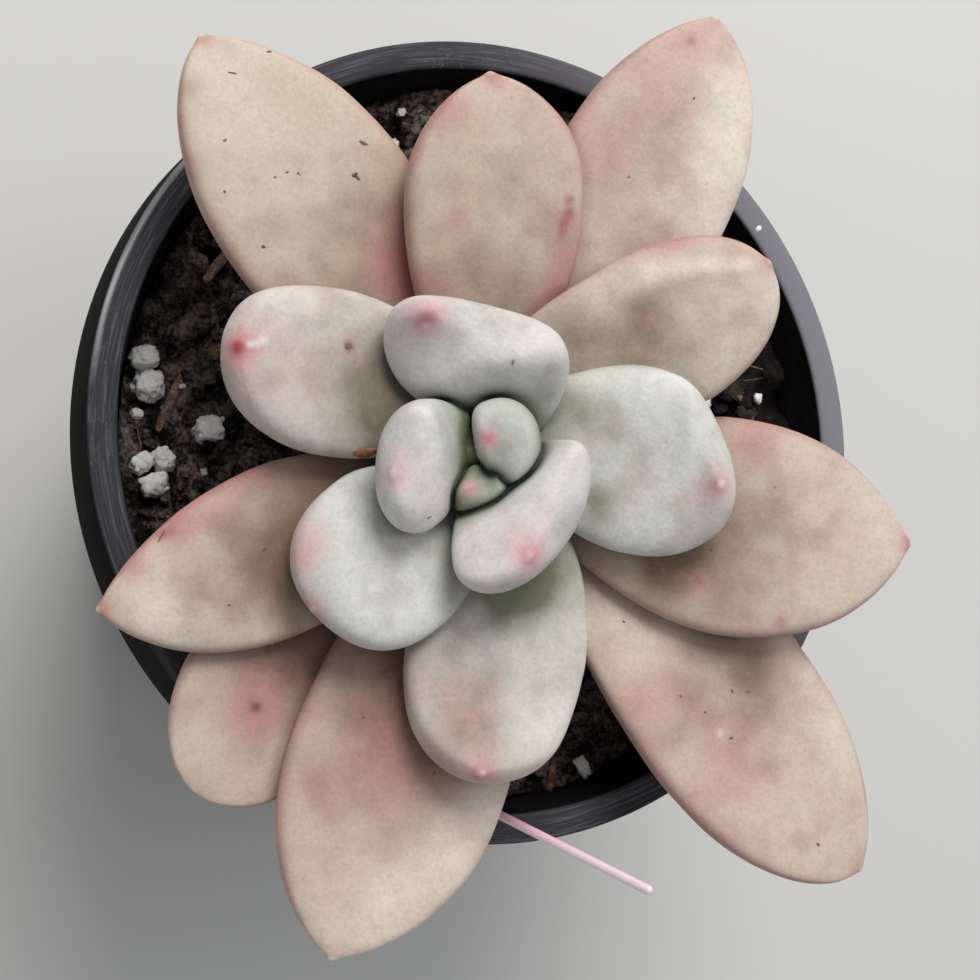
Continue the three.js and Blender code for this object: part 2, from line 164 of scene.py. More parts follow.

# %% [markdown]
# ## Skin of the leaves
# The leaf of this plant is a fleshy, translucent green body under a thick meal of pale wax, called
# farina. The wax makes the surface matt and nearly white, the flesh behind it lets the light
# spread a little, and pink pigment gathers at the point and along the margins where the sun
# reaches. Old leaves are beige, young ones minty grey. The colour could be painted in an image,
# but here each leaf carries a few masks, worked out by formula where the leaf is built, and the
# shader mixes plain colours by them. Some masks also carry painted shade, near the root, in the
# creases and on the lower leaves, and painted highlights on margins that face the light. Specks
# and mottling come from noise with real sizes.

# %% Leaf skin
def farinose_skin(name, tints):
    """Waxy leaf skin. The masks are painted on the leaf's points; tints are sRGB hex values."""
    material, add = new_material(name)
    where = add("TexCoord").outputs["Object"]
    # clouds of thicker and thinner wax, 11, 6, 1.7 and 0.5 mm across
    cloud = {}
    for size, detail in ((11, 1.0), (6, 1.0), (1.7, 3.0), (0.5, 1.0)):
        cloud[size] = add("TexNoise", Scale=per_mm(size), Detail=detail, Roughness=0.62, Vector=where)

    # tint, its mask, how far the clouds shift it, where it starts and is full, size of the clouds
    skin = tints["young"]
    for tint, mask, spread, low, high, size in (
        ("aged", "age", 1.5, 0.0, 1.0, 11),
        ("rose", "rose", 1.6, 0.0, 1.3, 6),
        # olive: green flesh, and painted shade near the stem, in the channel, underneath and beside
        # neighbours
        ("green", "olive_and_shade", 0.9, 0.05, 1.1, 6),
        ("mottle", "age", 2.2, 0.75, 2.4, 1.7),
        # tan: brown margins, and painted shade on the lower leaves and under their neighbours
        ("tan", "tan", 0.35, 0.03, 1.2, 6),
        ("blush", "blush", 0.6, 0.04, 1.0, 1.7),
        ("deep", "deep", 0.25, 0.05, 1.0, 1.7),
        # pale: the pale speck on the point, and painted highlights on margins and keels facing the light
        ("pale_and_highlight", "pale_and_highlight", 0.0, 0.0, 1.0, 1.7),
        # crease: painted shade in the creases where leaves meet, dark and greener
        ("crease_shade", "contact", 0.2, 0.05, 1.1, 1.7),
        ("scar", "scar", 0.3, 0.05, 1.0, 0.5),
    ):
        painted = add("Attribute", attribute_name=mask).outputs["Fac"]
        shift = add("Math", "SUBTRACT", cloud[size], 0.5)
        noisy = add("Math", "MULTIPLY_ADD", shift, spread, painted)
        part = add("MapRange", From_Min=low, From_Max=high, Value=noisy)
        skin = add("Mix", "RGBA", part, skin, tints[tint])

    # rubbed wax: mottling a few per cent lighter and darker, down to single grains
    rub = add("MapRange", From_Min=0.3, From_Max=0.7, To_Min=0.86, To_Max=1.0, Value=cloud[1.7])
    dust_and_sheen = add("MapRange", From_Min=0.3, From_Max=0.7, To_Min=0.92, To_Max=1.04, Value=cloud[0.5])
    tone = add("Math", "MULTIPLY", rub, dust_and_sheen)
    skin = add("Mix", "RGBA", 1.0, skin, tone, blend_type="MULTIPLY")

    # stray specks: single cells of a 1.7 mm pattern, kept where their random value is high
    cell = add("TexVoronoi", Scale=per_mm(1.7), Vector=where)
    near = add("MapRange", From_Min=0.17, From_Max=0.07, Value=cell.outputs["Distance"])
    chosen = add("Math", "GREATER_THAN", cell.outputs["Color"], 0.9)
    speck = add("Math", "MULTIPLY", near, chosen)
    faint = add("Math", "MULTIPLY", speck, 0.3)
    skin = add("Mix", "RGBA", faint, skin, "#6B5B45")

    dull = add("MapRange", To_Min=0.5, To_Max=0.72, Value=cloud[1.7])
    height = add("Math", "MULTIPLY_ADD", cloud[0.5], 0.25, cloud[1.7])
    powder = add("Bump", Strength=0.35, Distance=0.22 * MM, Height=height)
    flesh = add("BsdfPrincipled", IOR=1.45, Specular_IOR_Level=0.3, Sheen_Weight=0.08,
                Sheen_Roughness=0.5, Subsurface_Weight=0.15, Subsurface_Radius=(1.0, 0.62, 0.4),
                Subsurface_Scale=1.4 * MM, Base_Color=skin, Roughness=dull, Normal=powder)
    add("OutputMaterial", Surface=flesh)
    return material


SCAR_CORK = "#5A4433"
SKINS = {
    "outer_leaf": farinose_skin("farinose_skin_old_leaves", dict(
        young="#E0DACB", aged="#DACAB2", rose="#DABBB0", green="#7D6E52", mottle="#BCA98F", tan="#8F7062",
        blush="#C68D88", deep="#A65450", pale_and_highlight="#F4EAD8", crease_shade="#6A5444", scar=SCAR_CORK)),
    "middle_leaf": farinose_skin("farinose_skin_middle_leaves", dict(
        young="#DFE1DA", aged="#DED3C7", rose="#E0CBC5", green="#7F8069", mottle="#C1BAAB", tan="#96806F",
        blush="#D9A6A4", deep="#B04A57", pale_and_highlight="#F5F0EC", crease_shade="#4A4C3A", scar=SCAR_CORK)),
    "inner_leaf": farinose_skin("farinose_skin_young_leaves", dict(
        young="#E4E5E0", aged="#E6DFDA", rose="#E8D7D6", green="#75805F", mottle="#CCCABE", tan="#8B8F72",
        blush="#E0A3A8", deep="#CE6676", pale_and_highlight="#F8EFEC", crease_shade="#1E2718", scar=SCAR_CORK)),
}
print("leaf skins:", [m.name for m in SKINS.values()])

# %% [markdown]
# ## Leaves
# Each leaf is a thick blade that starts narrow at the stem, is fullest past its middle and closes
# to a blunt end with a tiny point. A ball could be sculpted into it, but a formula keeps all
# eighteen alike and lets each one have its own length, width, thickness, bend and place: a cubic
# curve is the middle line, and rounded sections are strung on it. The numbers are millimetres and
# degrees, the same as those of the frame's solids but for a few outlines drawn a little finer.
# root_at: azimuth round the stem and height on it; root: distance from its axis; tip: the point;
# rise: slope at root and tip; push, pull: how far these slopes carry; bend: turn of the last
# stretch; widest, neck, blunt: outline; upper: share of the thickness above the middle line;
# cup: how far the margins turn up; face, aim: azimuths of the blade and of its last stretch;
# side: how far the point sits off the middle; keel: place across and height of a soft fold that
# runs to the point.

# %% Leaf table
SHARED = dict(root=5, bend=0, push=0.35, pull=0.33, neck=0.42, upper=0.36, cup=0.1, side=0, face=None,
              aim=None, keel=(0, 0))


def leaf_row(root_at, tip, rise, width, thick, widest, blunt, **own):
    """One leaf's values: those that most leaves share, and those of its own."""
    own.update(root_at=root_at, tip=tip, rise=rise, width=width, thick=thick, widest=widest, blunt=blunt)
    return {**SHARED, **own}


LEAVES = {
    1: leaf_row((119, 80), (-41, 44.5, 93), (15, 8), 26.4, 8, 0.54, 0.72, bend=-11),
    2: leaf_row((84, 84), (-6, 42, 97), (20, 18), 23.8, 8.5, 0.62, 0.64, bend=8),
    3: leaf_row((52, 81.5), (25, 52, 98), (20, 12), 24.8, 8, 0.58, 0.68, face=63, aim=75, side=-0.17),
    4: leaf_row((35, 85.5), (29.5, 19.5, 101), (25, 15), 21.2, 8.5, 0.56, 0.53, face=32, aim=38,
                neck=0.86, side=-0.03, keel=(0.62, 0.5)),
    5: leaf_row((-26, 83), (51.5, -15.5, 96), (22, 8), 28.2, 8.5, 0.56, 0.8, bend=8, neck=0.2),
    6: leaf_row((-34, 78.5), (43.5, -57, 93), (20, 8), 26.4, 8.5, 0.6, 0.62, bend=9),
    7: leaf_row((-100, 81.5), (-25.5, -64, 88), (12, 3), 28.2, 8.5, 0.61, 0.72),
    8: leaf_row((-130, 79), (-41.5, -44, 86), (10, 5), 23.9, 7, 0.6, 0.49),
    9: leaf_row((-153, 84.5), (-52.5, -23, 88), (8, 2), 20.3, 8, 0.5, 0.78, bend=-14),
    10: leaf_row((134, 88), (-38, 6.5, 97), (18, 65), 20.4, 9, 0.48, 0.53, pull=0.25, face=176, aim=180,
                 neck=0.65, side=-0.28, upper=0.42, keel=(-0.6, 0.25)),
    11: leaf_row((-60, 87), (-9.5, -43, 97), (18, 62), 22.9, 9.5, 0.52, 0.6, pull=0.28, face=-100,
                 aim=-108, side=0.16, upper=0.42),
    12: leaf_row((-120, 89.5), (-29, -23.5, 94.5), (12, 16), 21.4, 8.5, 0.5, 0.5, pull=0.25, face=-131,
                 neck=0.6, upper=0.45),
    13: leaf_row((4, 89), (20.9, -8.9, 102), (18, 105), 23.8, 9.5, 0.5, 0.58, pull=0.28, face=6, aim=6,
                 neck=0.5, side=-0.2, upper=0.42),
    14: leaf_row((60, 91), (-16.5, 10.5, 103), (28, 98), 20.6, 10, 0.55, 0.6, root=3.6, pull=0.27,
                 face=82, aim=90, neck=0.66, side=0.7, upper=0.5, cup=0.05),
    15: leaf_row((-50, 92.5), (-5.5, -18, 104), (28, 88), 21.4, 9, 0.64, 0.44, root=4, pull=0.27,
                 face=-44, aim=-50, neck=0.56, side=-0.5, upper=0.46, cup=0.22),
    16: leaf_row((178, 94), (-21.5, -8.5, 103), (15, 50), 15.4, 8, 0.6, 0.5, root=1, pull=0.3, face=168,
                 aim=172, neck=0.7, upper=0.48),
    17: leaf_row((5, 94), (-9, -4, 101), (62, 122), 11.2, 7.5, 0.55, 0.5, root=4.6, face=12, aim=12,
                 neck=0.7, upper=0.42),
    18: leaf_row((-50, 93), (-11, -9.5, 99), (70, 110), 8, 6, 0.55, 0.5, root=4.2, face=-70, aim=-60,
                 neck=0.8, upper=0.5),
}
STEM_FOOT = np.array([4.1, 1.0, 59.0])
STEM_TOP = np.array([-10.1, -4.8, 97.0])
SECTION_POWER = 0.86
print("leaves in the table:", len(LEAVES))

# %% [markdown]
# ## How a leaf gets its masks
# Pigment follows the plant's own rules: the blush is strongest within a few millimetres of the
# point and in a thin line along the margin, and olive flesh shows through where the wax is thin,
# near the stem and where another leaf rubs. The olive mask also carries painted shade, darker near
# the stem, in the channel, on the underside and beside neighbouring leaves. Besides these rules
# each leaf has a few marks of its own, such as pits and scars, and tan marks of painted shade and
# pale marks of painted highlight, listed by kind, where u runs from root to tip and across from
# margin to margin.

# %% Leaf colours and marks
# age: 0 minty, 1 beige; rose: brown-pink cast; root: green flesh and painted shade at the root;
# rim: blush on the margins; tip: blush at the point; all in per cent
TINT_NAMES = ("age", "rose", "root", "rim", "tip")
TINTS = {
    1: (85, 20, 15, 70, 80),
    2: (80, 45, 30, 60, 90),
    3: (40, 70, 10, 55, 50),
    4: (45, 40, 45, 55, 70),
    5: (60, 55, 60, 60, 80),
    6: (60, 60, 10, 70, 50),
    7: (70, 75, 50, 50, 60),
    8: (85, 60, 60, 60, 30),
    9: (60, 40, 90, 60, 90),
    10: (40, 25, 75, 20, 90),
    11: (50, 20, 75, 10, 90),
    12: (0, 0, 50, 12, 70),
    13: (5, 20, 30, 8, 70),
    14: (35, 25, 70, 5, 30),
    15: (25, 25, 60, 5, 80),
    16: (15, 20, 80, 5, 60),
    17: (0, 0, 130, 0, 10),
    18: (0, 0, 160, 0, 10),
}
# for each kind: u and across in per cent, radius in mm, strength in per cent
# the tan marks are painted shade, on the lower leaves and under neighbouring leaves; the pale marks along
# margins and keels are painted highlights
MARKS = {
    1: dict(blush=[(38, -55, 4.5, 80), (30, -35, 4.5, 100)], scar=[(92, 85, 1.6, 25), (80, 95, 2.2, 20)],
            deep=[(100, 40, 1.3, 45)], tan=[(28, 10, 13, 60)], pale_and_highlight=[(90, 0, 6, 30), (76, 10, 8, 30)],
            olive_and_shade=[(45, 0, 8, 15)]),
    2: dict(blush=[(59, 50, 1.6, 40), (59, -76, 2.4, 60), (46, -85, 2.2, 70), (37, -80, 2.4, 70),
            (30, -80, 2.6, 70), (92, 93, 3, 60), (35, 85, 3.5, 50)], deep=[(63, -79, 0.8, 60),
            (60, -76, 0.8, 75), (57, -72, 0.8, 70), (54, -70, 0.7, 50)], olive_and_shade=[(70, 30, 8, 12)],
            tan=[(25, 0, 12, 40)]),
    3: dict(scar=[(93, 36, 0.7, 40)], blush=[(93, 36, 2.8, 45), (60, 70, 6, 30)], pale_and_highlight=[(87, -70, 5.5, 80),
            (73, -75, 5.5, 90), (60, -80, 5, 80), (42, -80, 4, 40)], tan=[(70, 15, 7, 20)],
            rose=[(85, 40, 8, 80), (60, 40, 7, 45)]),
    4: dict(blush=[(94, 80, 3, 50), (78, 95, 4, 50), (56, 20, 1.4, 30)], olive_and_shade=[(59, 30, 4.5, 50),
            (41, 10, 4, 15), (35, 60, 3, 15)], rose=[(60, 90, 6, 80)], pale_and_highlight=[(83, 50, 1.8, 50),
            (74, 62, 1.8, 55), (65, 70, 2, 55), (55, 75, 3, 50), (92, 25, 1.4, 50)], tan=[(62, -35, 6, 25),
            (42, -20, 5, 20)]),
    5: dict(deep=[(67, -87, 0.9, 50), (48, -60, 0.7, 60)], blush=[(48, -60, 1.6, 40), (57, 85, 4, 50),
            (42, 90, 3.5, 50)], olive_and_shade=[(46, -36, 5, 60), (40, -60, 4, 50), (58, 0, 6, 30)],
            tan=[(50, -20, 11, 50)], pale_and_highlight=[(93, 10, 3, 30)]),
    6: dict(olive_and_shade=[(57, 40, 5, 75), (48, 30, 4, 40)], scar=[(60, 45, 2, 15)], blush=[(63, -30, 4, 30),
            (50, -75, 4, 50), (30, -20, 6, 50)], pale_and_highlight=[(63, -29, 0.6, 50), (75, 80, 4.5, 45),
            (32, -40, 6.5, 60)], tan=[(60, 0, 9, 40)], rose=[(70, -50, 7, 80)]),
    7: dict(pale_and_highlight=[(96, -10, 4.5, 50), (87, 45, 5, 75), (74, 75, 4.5, 80), (62, 88, 4, 70)],
            olive_and_shade=[(40, 10, 7, 30)], blush=[(62, -10, 8, 40)], tan=[(50, -10, 13, 90), (15, -30, 12, 100)]),
    8: dict(scar=[(77, -10, 0.6, 90)], deep=[(77, -10, 1.3, 35)], blush=[(77, -10, 3.4, 80)],
            tan=[(65, 0, 12, 65), (40, 0, 11, 110)], pale_and_highlight=[(93, -40, 4, 35)]),
    9: dict(blush=[(75, -95, 2.8, 90), (90, -95, 2.2, 80), (62, -98, 2.6, 60), (50, -98, 2.4, 60)],
            deep=[(80, -88, 0.9, 60), (77, -84, 0.6, 50)], olive_and_shade=[(50, 20, 8, 75)], tan=[(33, -20, 11, 80),
            (62, 10, 8, 40)], pale_and_highlight=[(88, 30, 3, 50)]),
    10: dict(scar=[(48, -29, 0.55, 100), (33, 92, 1.5, 60)], blush=[(48, -29, 1.5, 50), (90, 20, 6, 25),
             (100, 0, 2.6, 40)], olive_and_shade=[(35, 40, 5, 60), (42, 0, 4, 30)], tan=[(35, 20, 7, 35),
             (67, 0, 9, 20)], deep=[(100, 0, 0.9, 50)], pale_and_highlight=[(97, -20, 0.45, 70), (94, -22, 0.5, 70),
             (90, -25, 0.5, 55), (86, -28, 0.6, 40)]),
    11: dict(olive_and_shade=[(37, -20, 3.5, 80), (30, 10, 5, 90)], pale_and_highlight=[(70, 70, 4, 30)], tan=[(88, -40, 4.5, 65),
             (60, -80, 6, 45), (75, 0, 6, 25)], blush=[(85, -40, 5, 30)]),
    12: dict(blush=[(92, -93, 2.6, 55), (80, -95, 2.4, 35), (85, -70, 4, 25)], olive_and_shade=[(33, 80, 4, 30)],
             pale_and_highlight=[(60, 0, 5, 20)]),
    13: dict(olive_and_shade=[(25, 44, 3.2, 75), (36, -56, 2.2, 60)], blush=[(92, -30, 3.4, 35)],
             pale_and_highlight=[(60, 85, 4, 50), (28, 10, 3, 30)]),
    14: dict(blush=[(98, 40, 2.2, 75)], deep=[(98, 44, 0.9, 50)], pale_and_highlight=[(97, 30, 0.4, 50), (60, 40, 6, 30)],
             scar=[(72, -57, 0.35, 50)], olive_and_shade=[(45, 10, 4, 40)]),
    15: dict(blush=[(95, 10, 2.2, 15)], tan=[(90, -60, 6, 15)], rose=[(90, -60, 6, 50)]),
    16: dict(olive_and_shade=[(50, -50, 3.5, 30)], blush=[(85, 20, 1.6, 30)], pale_and_highlight=[(70, 20, 4, 30)]),
    17: dict(blush=[(100, 0, 1.3, 80)], deep=[(100, 0, 0.6, 30)], olive_and_shade=[(70, 0, 7, 40)]),
    18: dict(blush=[(100, 0, 1.1, 70)], olive_and_shade=[(80, 0, 7, 60)]),
}
# dark flecks of old sap and dirt on the wax: u and across in per cent, length and width in mm,
# turn in degrees
FLECKS = {
    1: [(61, -69, 1.3, 0.4, 30), (57, -46, 0.9, 0.5, 80), (56, -42, 0.7, 0.4, 20), (65, 0, 0.5, 0.3, 0),
        (59, 69, 0.6, 0.4, 50), (80, 51, 0.5, 0.3, 90), (68, 20, 0.4, 0.3, 0), (67, 10, 0.5, 0.2, 60),
        (90, -11, 1.3, 0.2, 50), (90, -90, 0.8, 0.3, 40), (72, 74, 0.4, 0.3, 0)],
    3: [(81, -11, 0.4, 0.3, 0), (60, 20, 0.4, 0.3, 0)],
    5: [(63, 40, 0.3, 0.3, 0), (50, -30, 0.4, 0.3, 40)],
    6: [(59, 11, 0.5, 0.3, 0), (61, 20, 0.5, 0.3, 30), (59, -29, 0.4, 0.3, 0), (65, -20, 0.6, 0.3, 70),
        (54, -36, 0.4, 0.3, 0), (37, -44, 0.4, 0.25, 20), (90, -29, 0.5, 0.4, 0)],
    7: [(45, 20, 0.4, 0.3, 0), (55, -50, 0.4, 0.3, 50), (60, 30, 0.4, 0.2, 0)],
    8: [(60, 30, 0.4, 0.3, 0), (55, -30, 0.5, 0.3, 0)],
    9: [(80, -90, 1.6, 0.25, 20), (56, -11, 0.5, 0.3, 0), (70, 40, 0.4, 0.2, 0)],
    10: [(48, -29, 0.9, 0.7, 30)],
    14: [(72, -57, 0.7, 0.12, 95)],
    16: [(75, 69, 0.9, 0.25, 30)],
}
MARK_COUNT = sum(len(spots) for kinds in MARKS.values() for spots in kinds.values())
print("marks:", MARK_COUNT, "flecks:", sum(len(rows) for rows in FLECKS.values()))

# %% Leaf form
LEAF_RINGS = 120
LEAF_SIDES = 112


def heading(azimuth, rise=0.0):
    a = math.radians(azimuth)
    e = math.radians(rise)
    return np.array([math.cos(e) * math.cos(a), math.cos(e) * math.sin(a), math.sin(e)])


def unit(rows):
    return rows / np.linalg.norm(rows, axis=-1, keepdims=True)


def leaf_points(leaf):
    """Rings of points along the leaf, with u and across for each, and the curve's data."""
    azimuth, height = leaf["root_at"]
    start = STEM_FOOT + (STEM_TOP - STEM_FOOT) * (height - STEM_FOOT[2]) / (STEM_TOP[2] - STEM_FOOT[2])
    start = start + leaf["root"] * heading(azimuth)
    point = np.array(leaf["tip"], float)
    end = point.copy()
    if leaf["side"]:
        last = heading(leaf["aim"], leaf["rise"][1])
        across = heading(leaf["face"] + 90)
        across = unit(across - (across @ last) * last)
        end = end - leaf["side"] * 0.5 * leaf["width"] * across
    chord = end - start
    length = np.linalg.norm(chord)
    azimuth_of_chord = math.degrees(math.atan2(chord[1], chord[0]))
    aim = azimuth_of_chord + leaf["bend"] if leaf["aim"] is None else leaf["aim"]
    face = azimuth_of_chord if leaf["face"] is None else leaf["face"]
    second = start + leaf["push"] * length * heading(azimuth, leaf["rise"][0])
    third = end - leaf["pull"] * length * heading(aim, leaf["rise"][1])

    # rings lie closer together toward the blunt end
    u = 1 - (1 - np.linspace(0, 1, LEAF_RINGS + 1)[1:-1, None]) ** 1.6
    v = 1 - u
    middle = v**3 * start + 3 * v * v * u * second + 3 * v * u * u * third + u**3 * end
    along = unit(v * v * (second - start) + 2 * v * u * (third - second) + u * u * (end - third))
    side = heading(face + 90)
    side = unit(side - (along @ side)[:, None] * along)
    up = np.cross(along, side)

    past = np.clip((u - leaf["widest"]) / (1 - leaf["widest"]), 0, 1)
    growing = leaf["neck"] + (1 - leaf["neck"]) * np.sin(np.pi / 2 * np.minimum(u / leaf["widest"], 1)) ** 1.3
    half = 0.5 * leaf["width"] * np.where(u < leaf["widest"], growing, (1 - past**2.2) ** leaf["blunt"])
    over = np.clip((u - 0.55) / 0.45, 0, 1)
    swelling = 0.62 + 0.38 * np.sin(np.pi / 2 * np.minimum(u / 0.55, 1))
    thick = leaf["thick"] * np.where(u < 0.55, swelling, (1 - over**2.2) ** 0.55)

    angle = np.linspace(0, 2 * np.pi, LEAF_SIDES, endpoint=False)[None, :]
    x = np.sign(np.cos(angle)) * np.abs(np.cos(angle)) ** SECTION_POWER
    y = np.sign(np.sin(angle)) * np.abs(np.sin(angle)) ** SECTION_POWER
    share = np.where(y > 0, leaf["upper"], 1 - leaf["upper"])
    lift = thick * share * y + leaf["cup"] * half * x * x
    keel_across, keel_height = leaf["keel"]
    from_keel = x - keel_across * (1 - u**5)
    fold = np.exp(-(from_keel / 0.16) ** 2) * np.clip(u * 3 - 0.9, 0, 1) * (1 - u**8)
    lift = lift + keel_height * fold * (y > 0) * np.minimum(y * 3, 1)
    off = half * x + leaf["side"] * 0.5 * leaf["width"] * u**3
    rings = middle[:, None, :] + off[..., None] * side[:, None, :] + lift[..., None] * up[:, None, :]
    ring_u = np.repeat(u, LEAF_SIDES, axis=1)
    ring_x = np.repeat(x, len(u), axis=0)
    ring_y = np.repeat(y, len(u), axis=0)
    points = np.vstack([start, rings.reshape(-1, 3), point])
    flat = [np.concatenate([[a], ring.ravel(), [b]])
            for a, ring, b in ((0, ring_u, 1), (0, ring_x, 0), (0, ring_y, 0))]
    return points, flat[0], flat[1], flat[2], unit(along[-1])


def ring_faces(rings, sides):
    """Quads between rings of points, and a fan to the point at each end; faces point outward."""
    faces = []
    for k in range(sides):
        after = (k + 1) % sides
        faces.append((0, 1 + after, 1 + k))
        for i in range(rings - 1):
            a = 1 + i * sides
            faces.append((a + k, a + after, a + sides + after, a + sides + k))
        a = 1 + (rings - 1) * sides
        faces.append((a + k, a + after, a + sides))
    return faces


def outward(points, faces):
    """Unit normals of a closed mesh of triangles and quads, one for each point."""
    normals = np.zeros_like(points)
    for size in (3, 4):
        some = np.array([f for f in faces if len(f) == size])
        corner = points[some]
        cross = np.cross(corner[:, 2] - corner[:, 0], corner[:, -1] - corner[:, 1] if size == 4
                         else corner[:, 2] - corner[:, 1])
        for j in range(size):
            np.add.at(normals, some[:, j], cross)
    return unit(normals)


def rough(points, size, seed):
    """Smooth noise from -1 to 1 at each point, with features of this size in mm."""
    return np.array([noise.noise(Vector(p) / size + Vector((seed, 0, 0))) for p in points])


FACES = ring_faces(LEAF_RINGS - 1, LEAF_SIDES)
print("points in a leaf:", 2 + (LEAF_RINGS - 1) * LEAF_SIDES, "faces:", len(FACES))

# %% [markdown]
# ## Growing the leaves
# The clean form is too perfect, so each leaf gets what growth leaves: soft swells about 9 mm
# across, shallow dimples of 2.5 mm, and the little point at its end. Where two leaves meet, a real
# rosette shows a narrow dark crease, for both surfaces turn away from each other there. So every
# point within a millimetre of a neighbour sinks a little, and gets a mask that paints shade into
# the crease, dark and greener, partly for the skin rubbed there. A boolean cut would leave hard
# edges instead.

# %% Grow the leaves
SWELL = 0.16
DIMPLE = 0.035
CREASE_REACH = 3.0
CREASE_DEPTH = 0.22
NO_NUB = (8, 17, 18)
OUTER_NUB = 0.35
INNER_NUB = 0.22
NUB_RADIUS = 0.9


def bell(distance, radius):
    return np.exp(-(distance / radius) ** 2)


def crease_radius(number):
    """Wide blades round off softly where they meet, the small ones in the heart sharply."""
    return 0.35 + 0.028 * LEAVES[number]["width"]


def smoothed(values, times):
    """Values averaged with their neighbours along the leaf and round it."""
    grid = values[1:-1].reshape(LEAF_RINGS - 1, LEAF_SIDES)
    for _ in range(times):
        grid = (grid + np.roll(grid, 1, axis=1) + np.roll(grid, -1, axis=1)) / 3
        longer = np.vstack([grid[:1], grid, grid[-1:]])
        grid = (longer[:-2] + longer[1:-1] + longer[2:]) / 3
    return np.concatenate([values[:1], grid.ravel(), values[-1:]])


def tree_of(points):
    return BVHTree.FromPolygons([tuple(p) for p in points], FACES)


grown = {}
for number, row in LEAVES.items():
    points, u, x, y, last_way = leaf_points(row)
    free = np.clip(u * 6, 0, 1)
    relief = SWELL * rough(points, 9, number) + DIMPLE * rough(points, 2.5, number + 40)
    points = points + outward(points, FACES) * (free * relief)[:, None]
    to_tip = np.linalg.norm(points - points[-1], axis=1)
    nub = 0.0 if number in NO_NUB else OUTER_NUB if number < 10 else INNER_NUB
    points = points + last_way * (nub * bell(to_tip, NUB_RADIUS))[:, None]
    grown[number] = (points, u, x, y)

trees = {number: tree_of(grown[number][0]) for number in grown}
contact = {}
for number, (points, u, x, y) in grown.items():
    nearest = np.full(len(points), CREASE_REACH)
    for other, tree in trees.items():
        if other == number:
            continue
        body = grown[other][0]
        close = np.all((points > body.min(0) - CREASE_REACH) & (points < body.max(0) + CREASE_REACH), axis=1)
        for i in np.nonzero(close)[0]:
            _, _, _, distance = tree.find_nearest(points[i], CREASE_REACH)
            if distance is not None and distance < nearest[i]:
                nearest[i] = distance
    contact[number] = smoothed(nearest, 2)
for number, (points, u, x, y) in grown.items():
    sink = CREASE_DEPTH * bell(contact[number], crease_radius(number))
    grown[number] = (points - outward(points, FACES) * sink[:, None], u, x, y)
print("leaves grown:", len(grown))

# %% Dress the leaves
# the tan marks of painted shade count this much more
SHADE_AND_TAN_SHARE = 1.3
# how strongly the margins turn brown, and the pale speck on the point where it isn't 0.7
MARGIN_TAN = {"outer_leaf": 0.5, "middle_leaf": 0.05, "inner_leaf": 0.0}
TIP_PALE = {10: 0.0, 14: 0.0, 15: 0.35, 17: 0.0, 18: 0.0}


def slot_of(number):
    return "outer_leaf" if number < 10 else "middle_leaf" if number < 14 else "inner_leaf"


def spot_on(number, spot_u, across):
    """The number of the point nearest to this place, in per cent, on the leaf's upper face."""
    points, u, x, y = grown[number]
    return int(np.argmin(np.hypot((u - spot_u / 100) * 3, x - across / 100) + (y < 0) * 10))


for number, (points, u, x, y) in grown.items():
    tint = dict(zip(TINT_NAMES, np.array(TINTS[number]) / 100))
    slot = slot_of(number)
    name = f"leaf_{number:02d}"
    piece = piece_from(f"{name}_blade", points, FACES, SKINS[slot], slot)
    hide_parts(name)
    to_tip = np.linalg.norm(points - points[-1], axis=1)
    wobble = rough(points, 5, number + 11)
    margin = np.clip((np.abs(x) - 0.8) / 0.2, 0, 1) ** 2 * np.clip(u * 1.6 - 0.2, 0, 1)
    underside = np.clip(-y * 1.5, 0, 1)
    channel = np.clip(1 - np.abs(x) * 1.1, 0, 1) * np.clip(1.2 - u * 1.3, 0, 1)
    masks = {
        "age": tint["age"] + 0.2 * wobble,
        "rose": tint["rose"] + 0.25 * rough(points, 8, number + 70),
        # green at the root, in the channel and underneath: partly flesh, partly painted shade
        "olive_and_shade": tint["root"] * np.clip(1.1 - u * 1.6, 0, 1) ** 1.2 + 0.3 * channel + 0.25 * underside,
        "blush": tint["rim"] * margin * (0.8 + 0.6 * wobble) + tint["tip"] * bell(to_tip, 2.3),
        "deep": 0.7 * tint["tip"] * bell(to_tip, 1.1),
        "tan": MARGIN_TAN[slot] * np.clip((np.abs(x) - 0.9) / 0.1, 0, 1) * np.clip(u * 3 - 0.9, 0, 1),
        "scar": np.zeros(len(points)),
        "pale_and_highlight": TIP_PALE.get(number, 0.7) * bell(to_tip, 0.6),
        # painted shade in the creases next to neighbouring leaves
        "contact": 0.35 * bell(contact[number], crease_radius(number)),
    }
    # the heart's small leaves get a thin, nearly black line of painted shade in the creases and painted olive
    # shade beside them
    if slot == "inner_leaf":
        masks["contact"] += 0.9 * bell(contact[number], 0.38)
        masks["olive_and_shade"] += 0.45 * bell(contact[number], 1.4)
    for kind, spots in MARKS[number].items():
        share = SHADE_AND_TAN_SHARE if kind == "tan" else 1.0
        for spot_u, across, radius, strength in spots:
            apart = np.linalg.norm(points - points[spot_on(number, spot_u, across)], axis=1)
            masks[kind] += strength / 100 * share * bell(apart * (1 + 0.35 * wobble), radius)
    for key, values in masks.items():
        layer = piece.data.attributes.new(key, "FLOAT", "POINT")
        layer.data.foreach_set("value", np.clip(values, 0, 1.6).astype(np.float32))
print("leaves dressed:", len(grown))

# %% [markdown]
# ## Stem
# The stem is short, fleshy and olive, with the rings where old leaves fell off. Only slivers of it
# show between the leaves, so it is turned like a spindle: rings of points round the leaning axis,
# with a ridge at each scar.

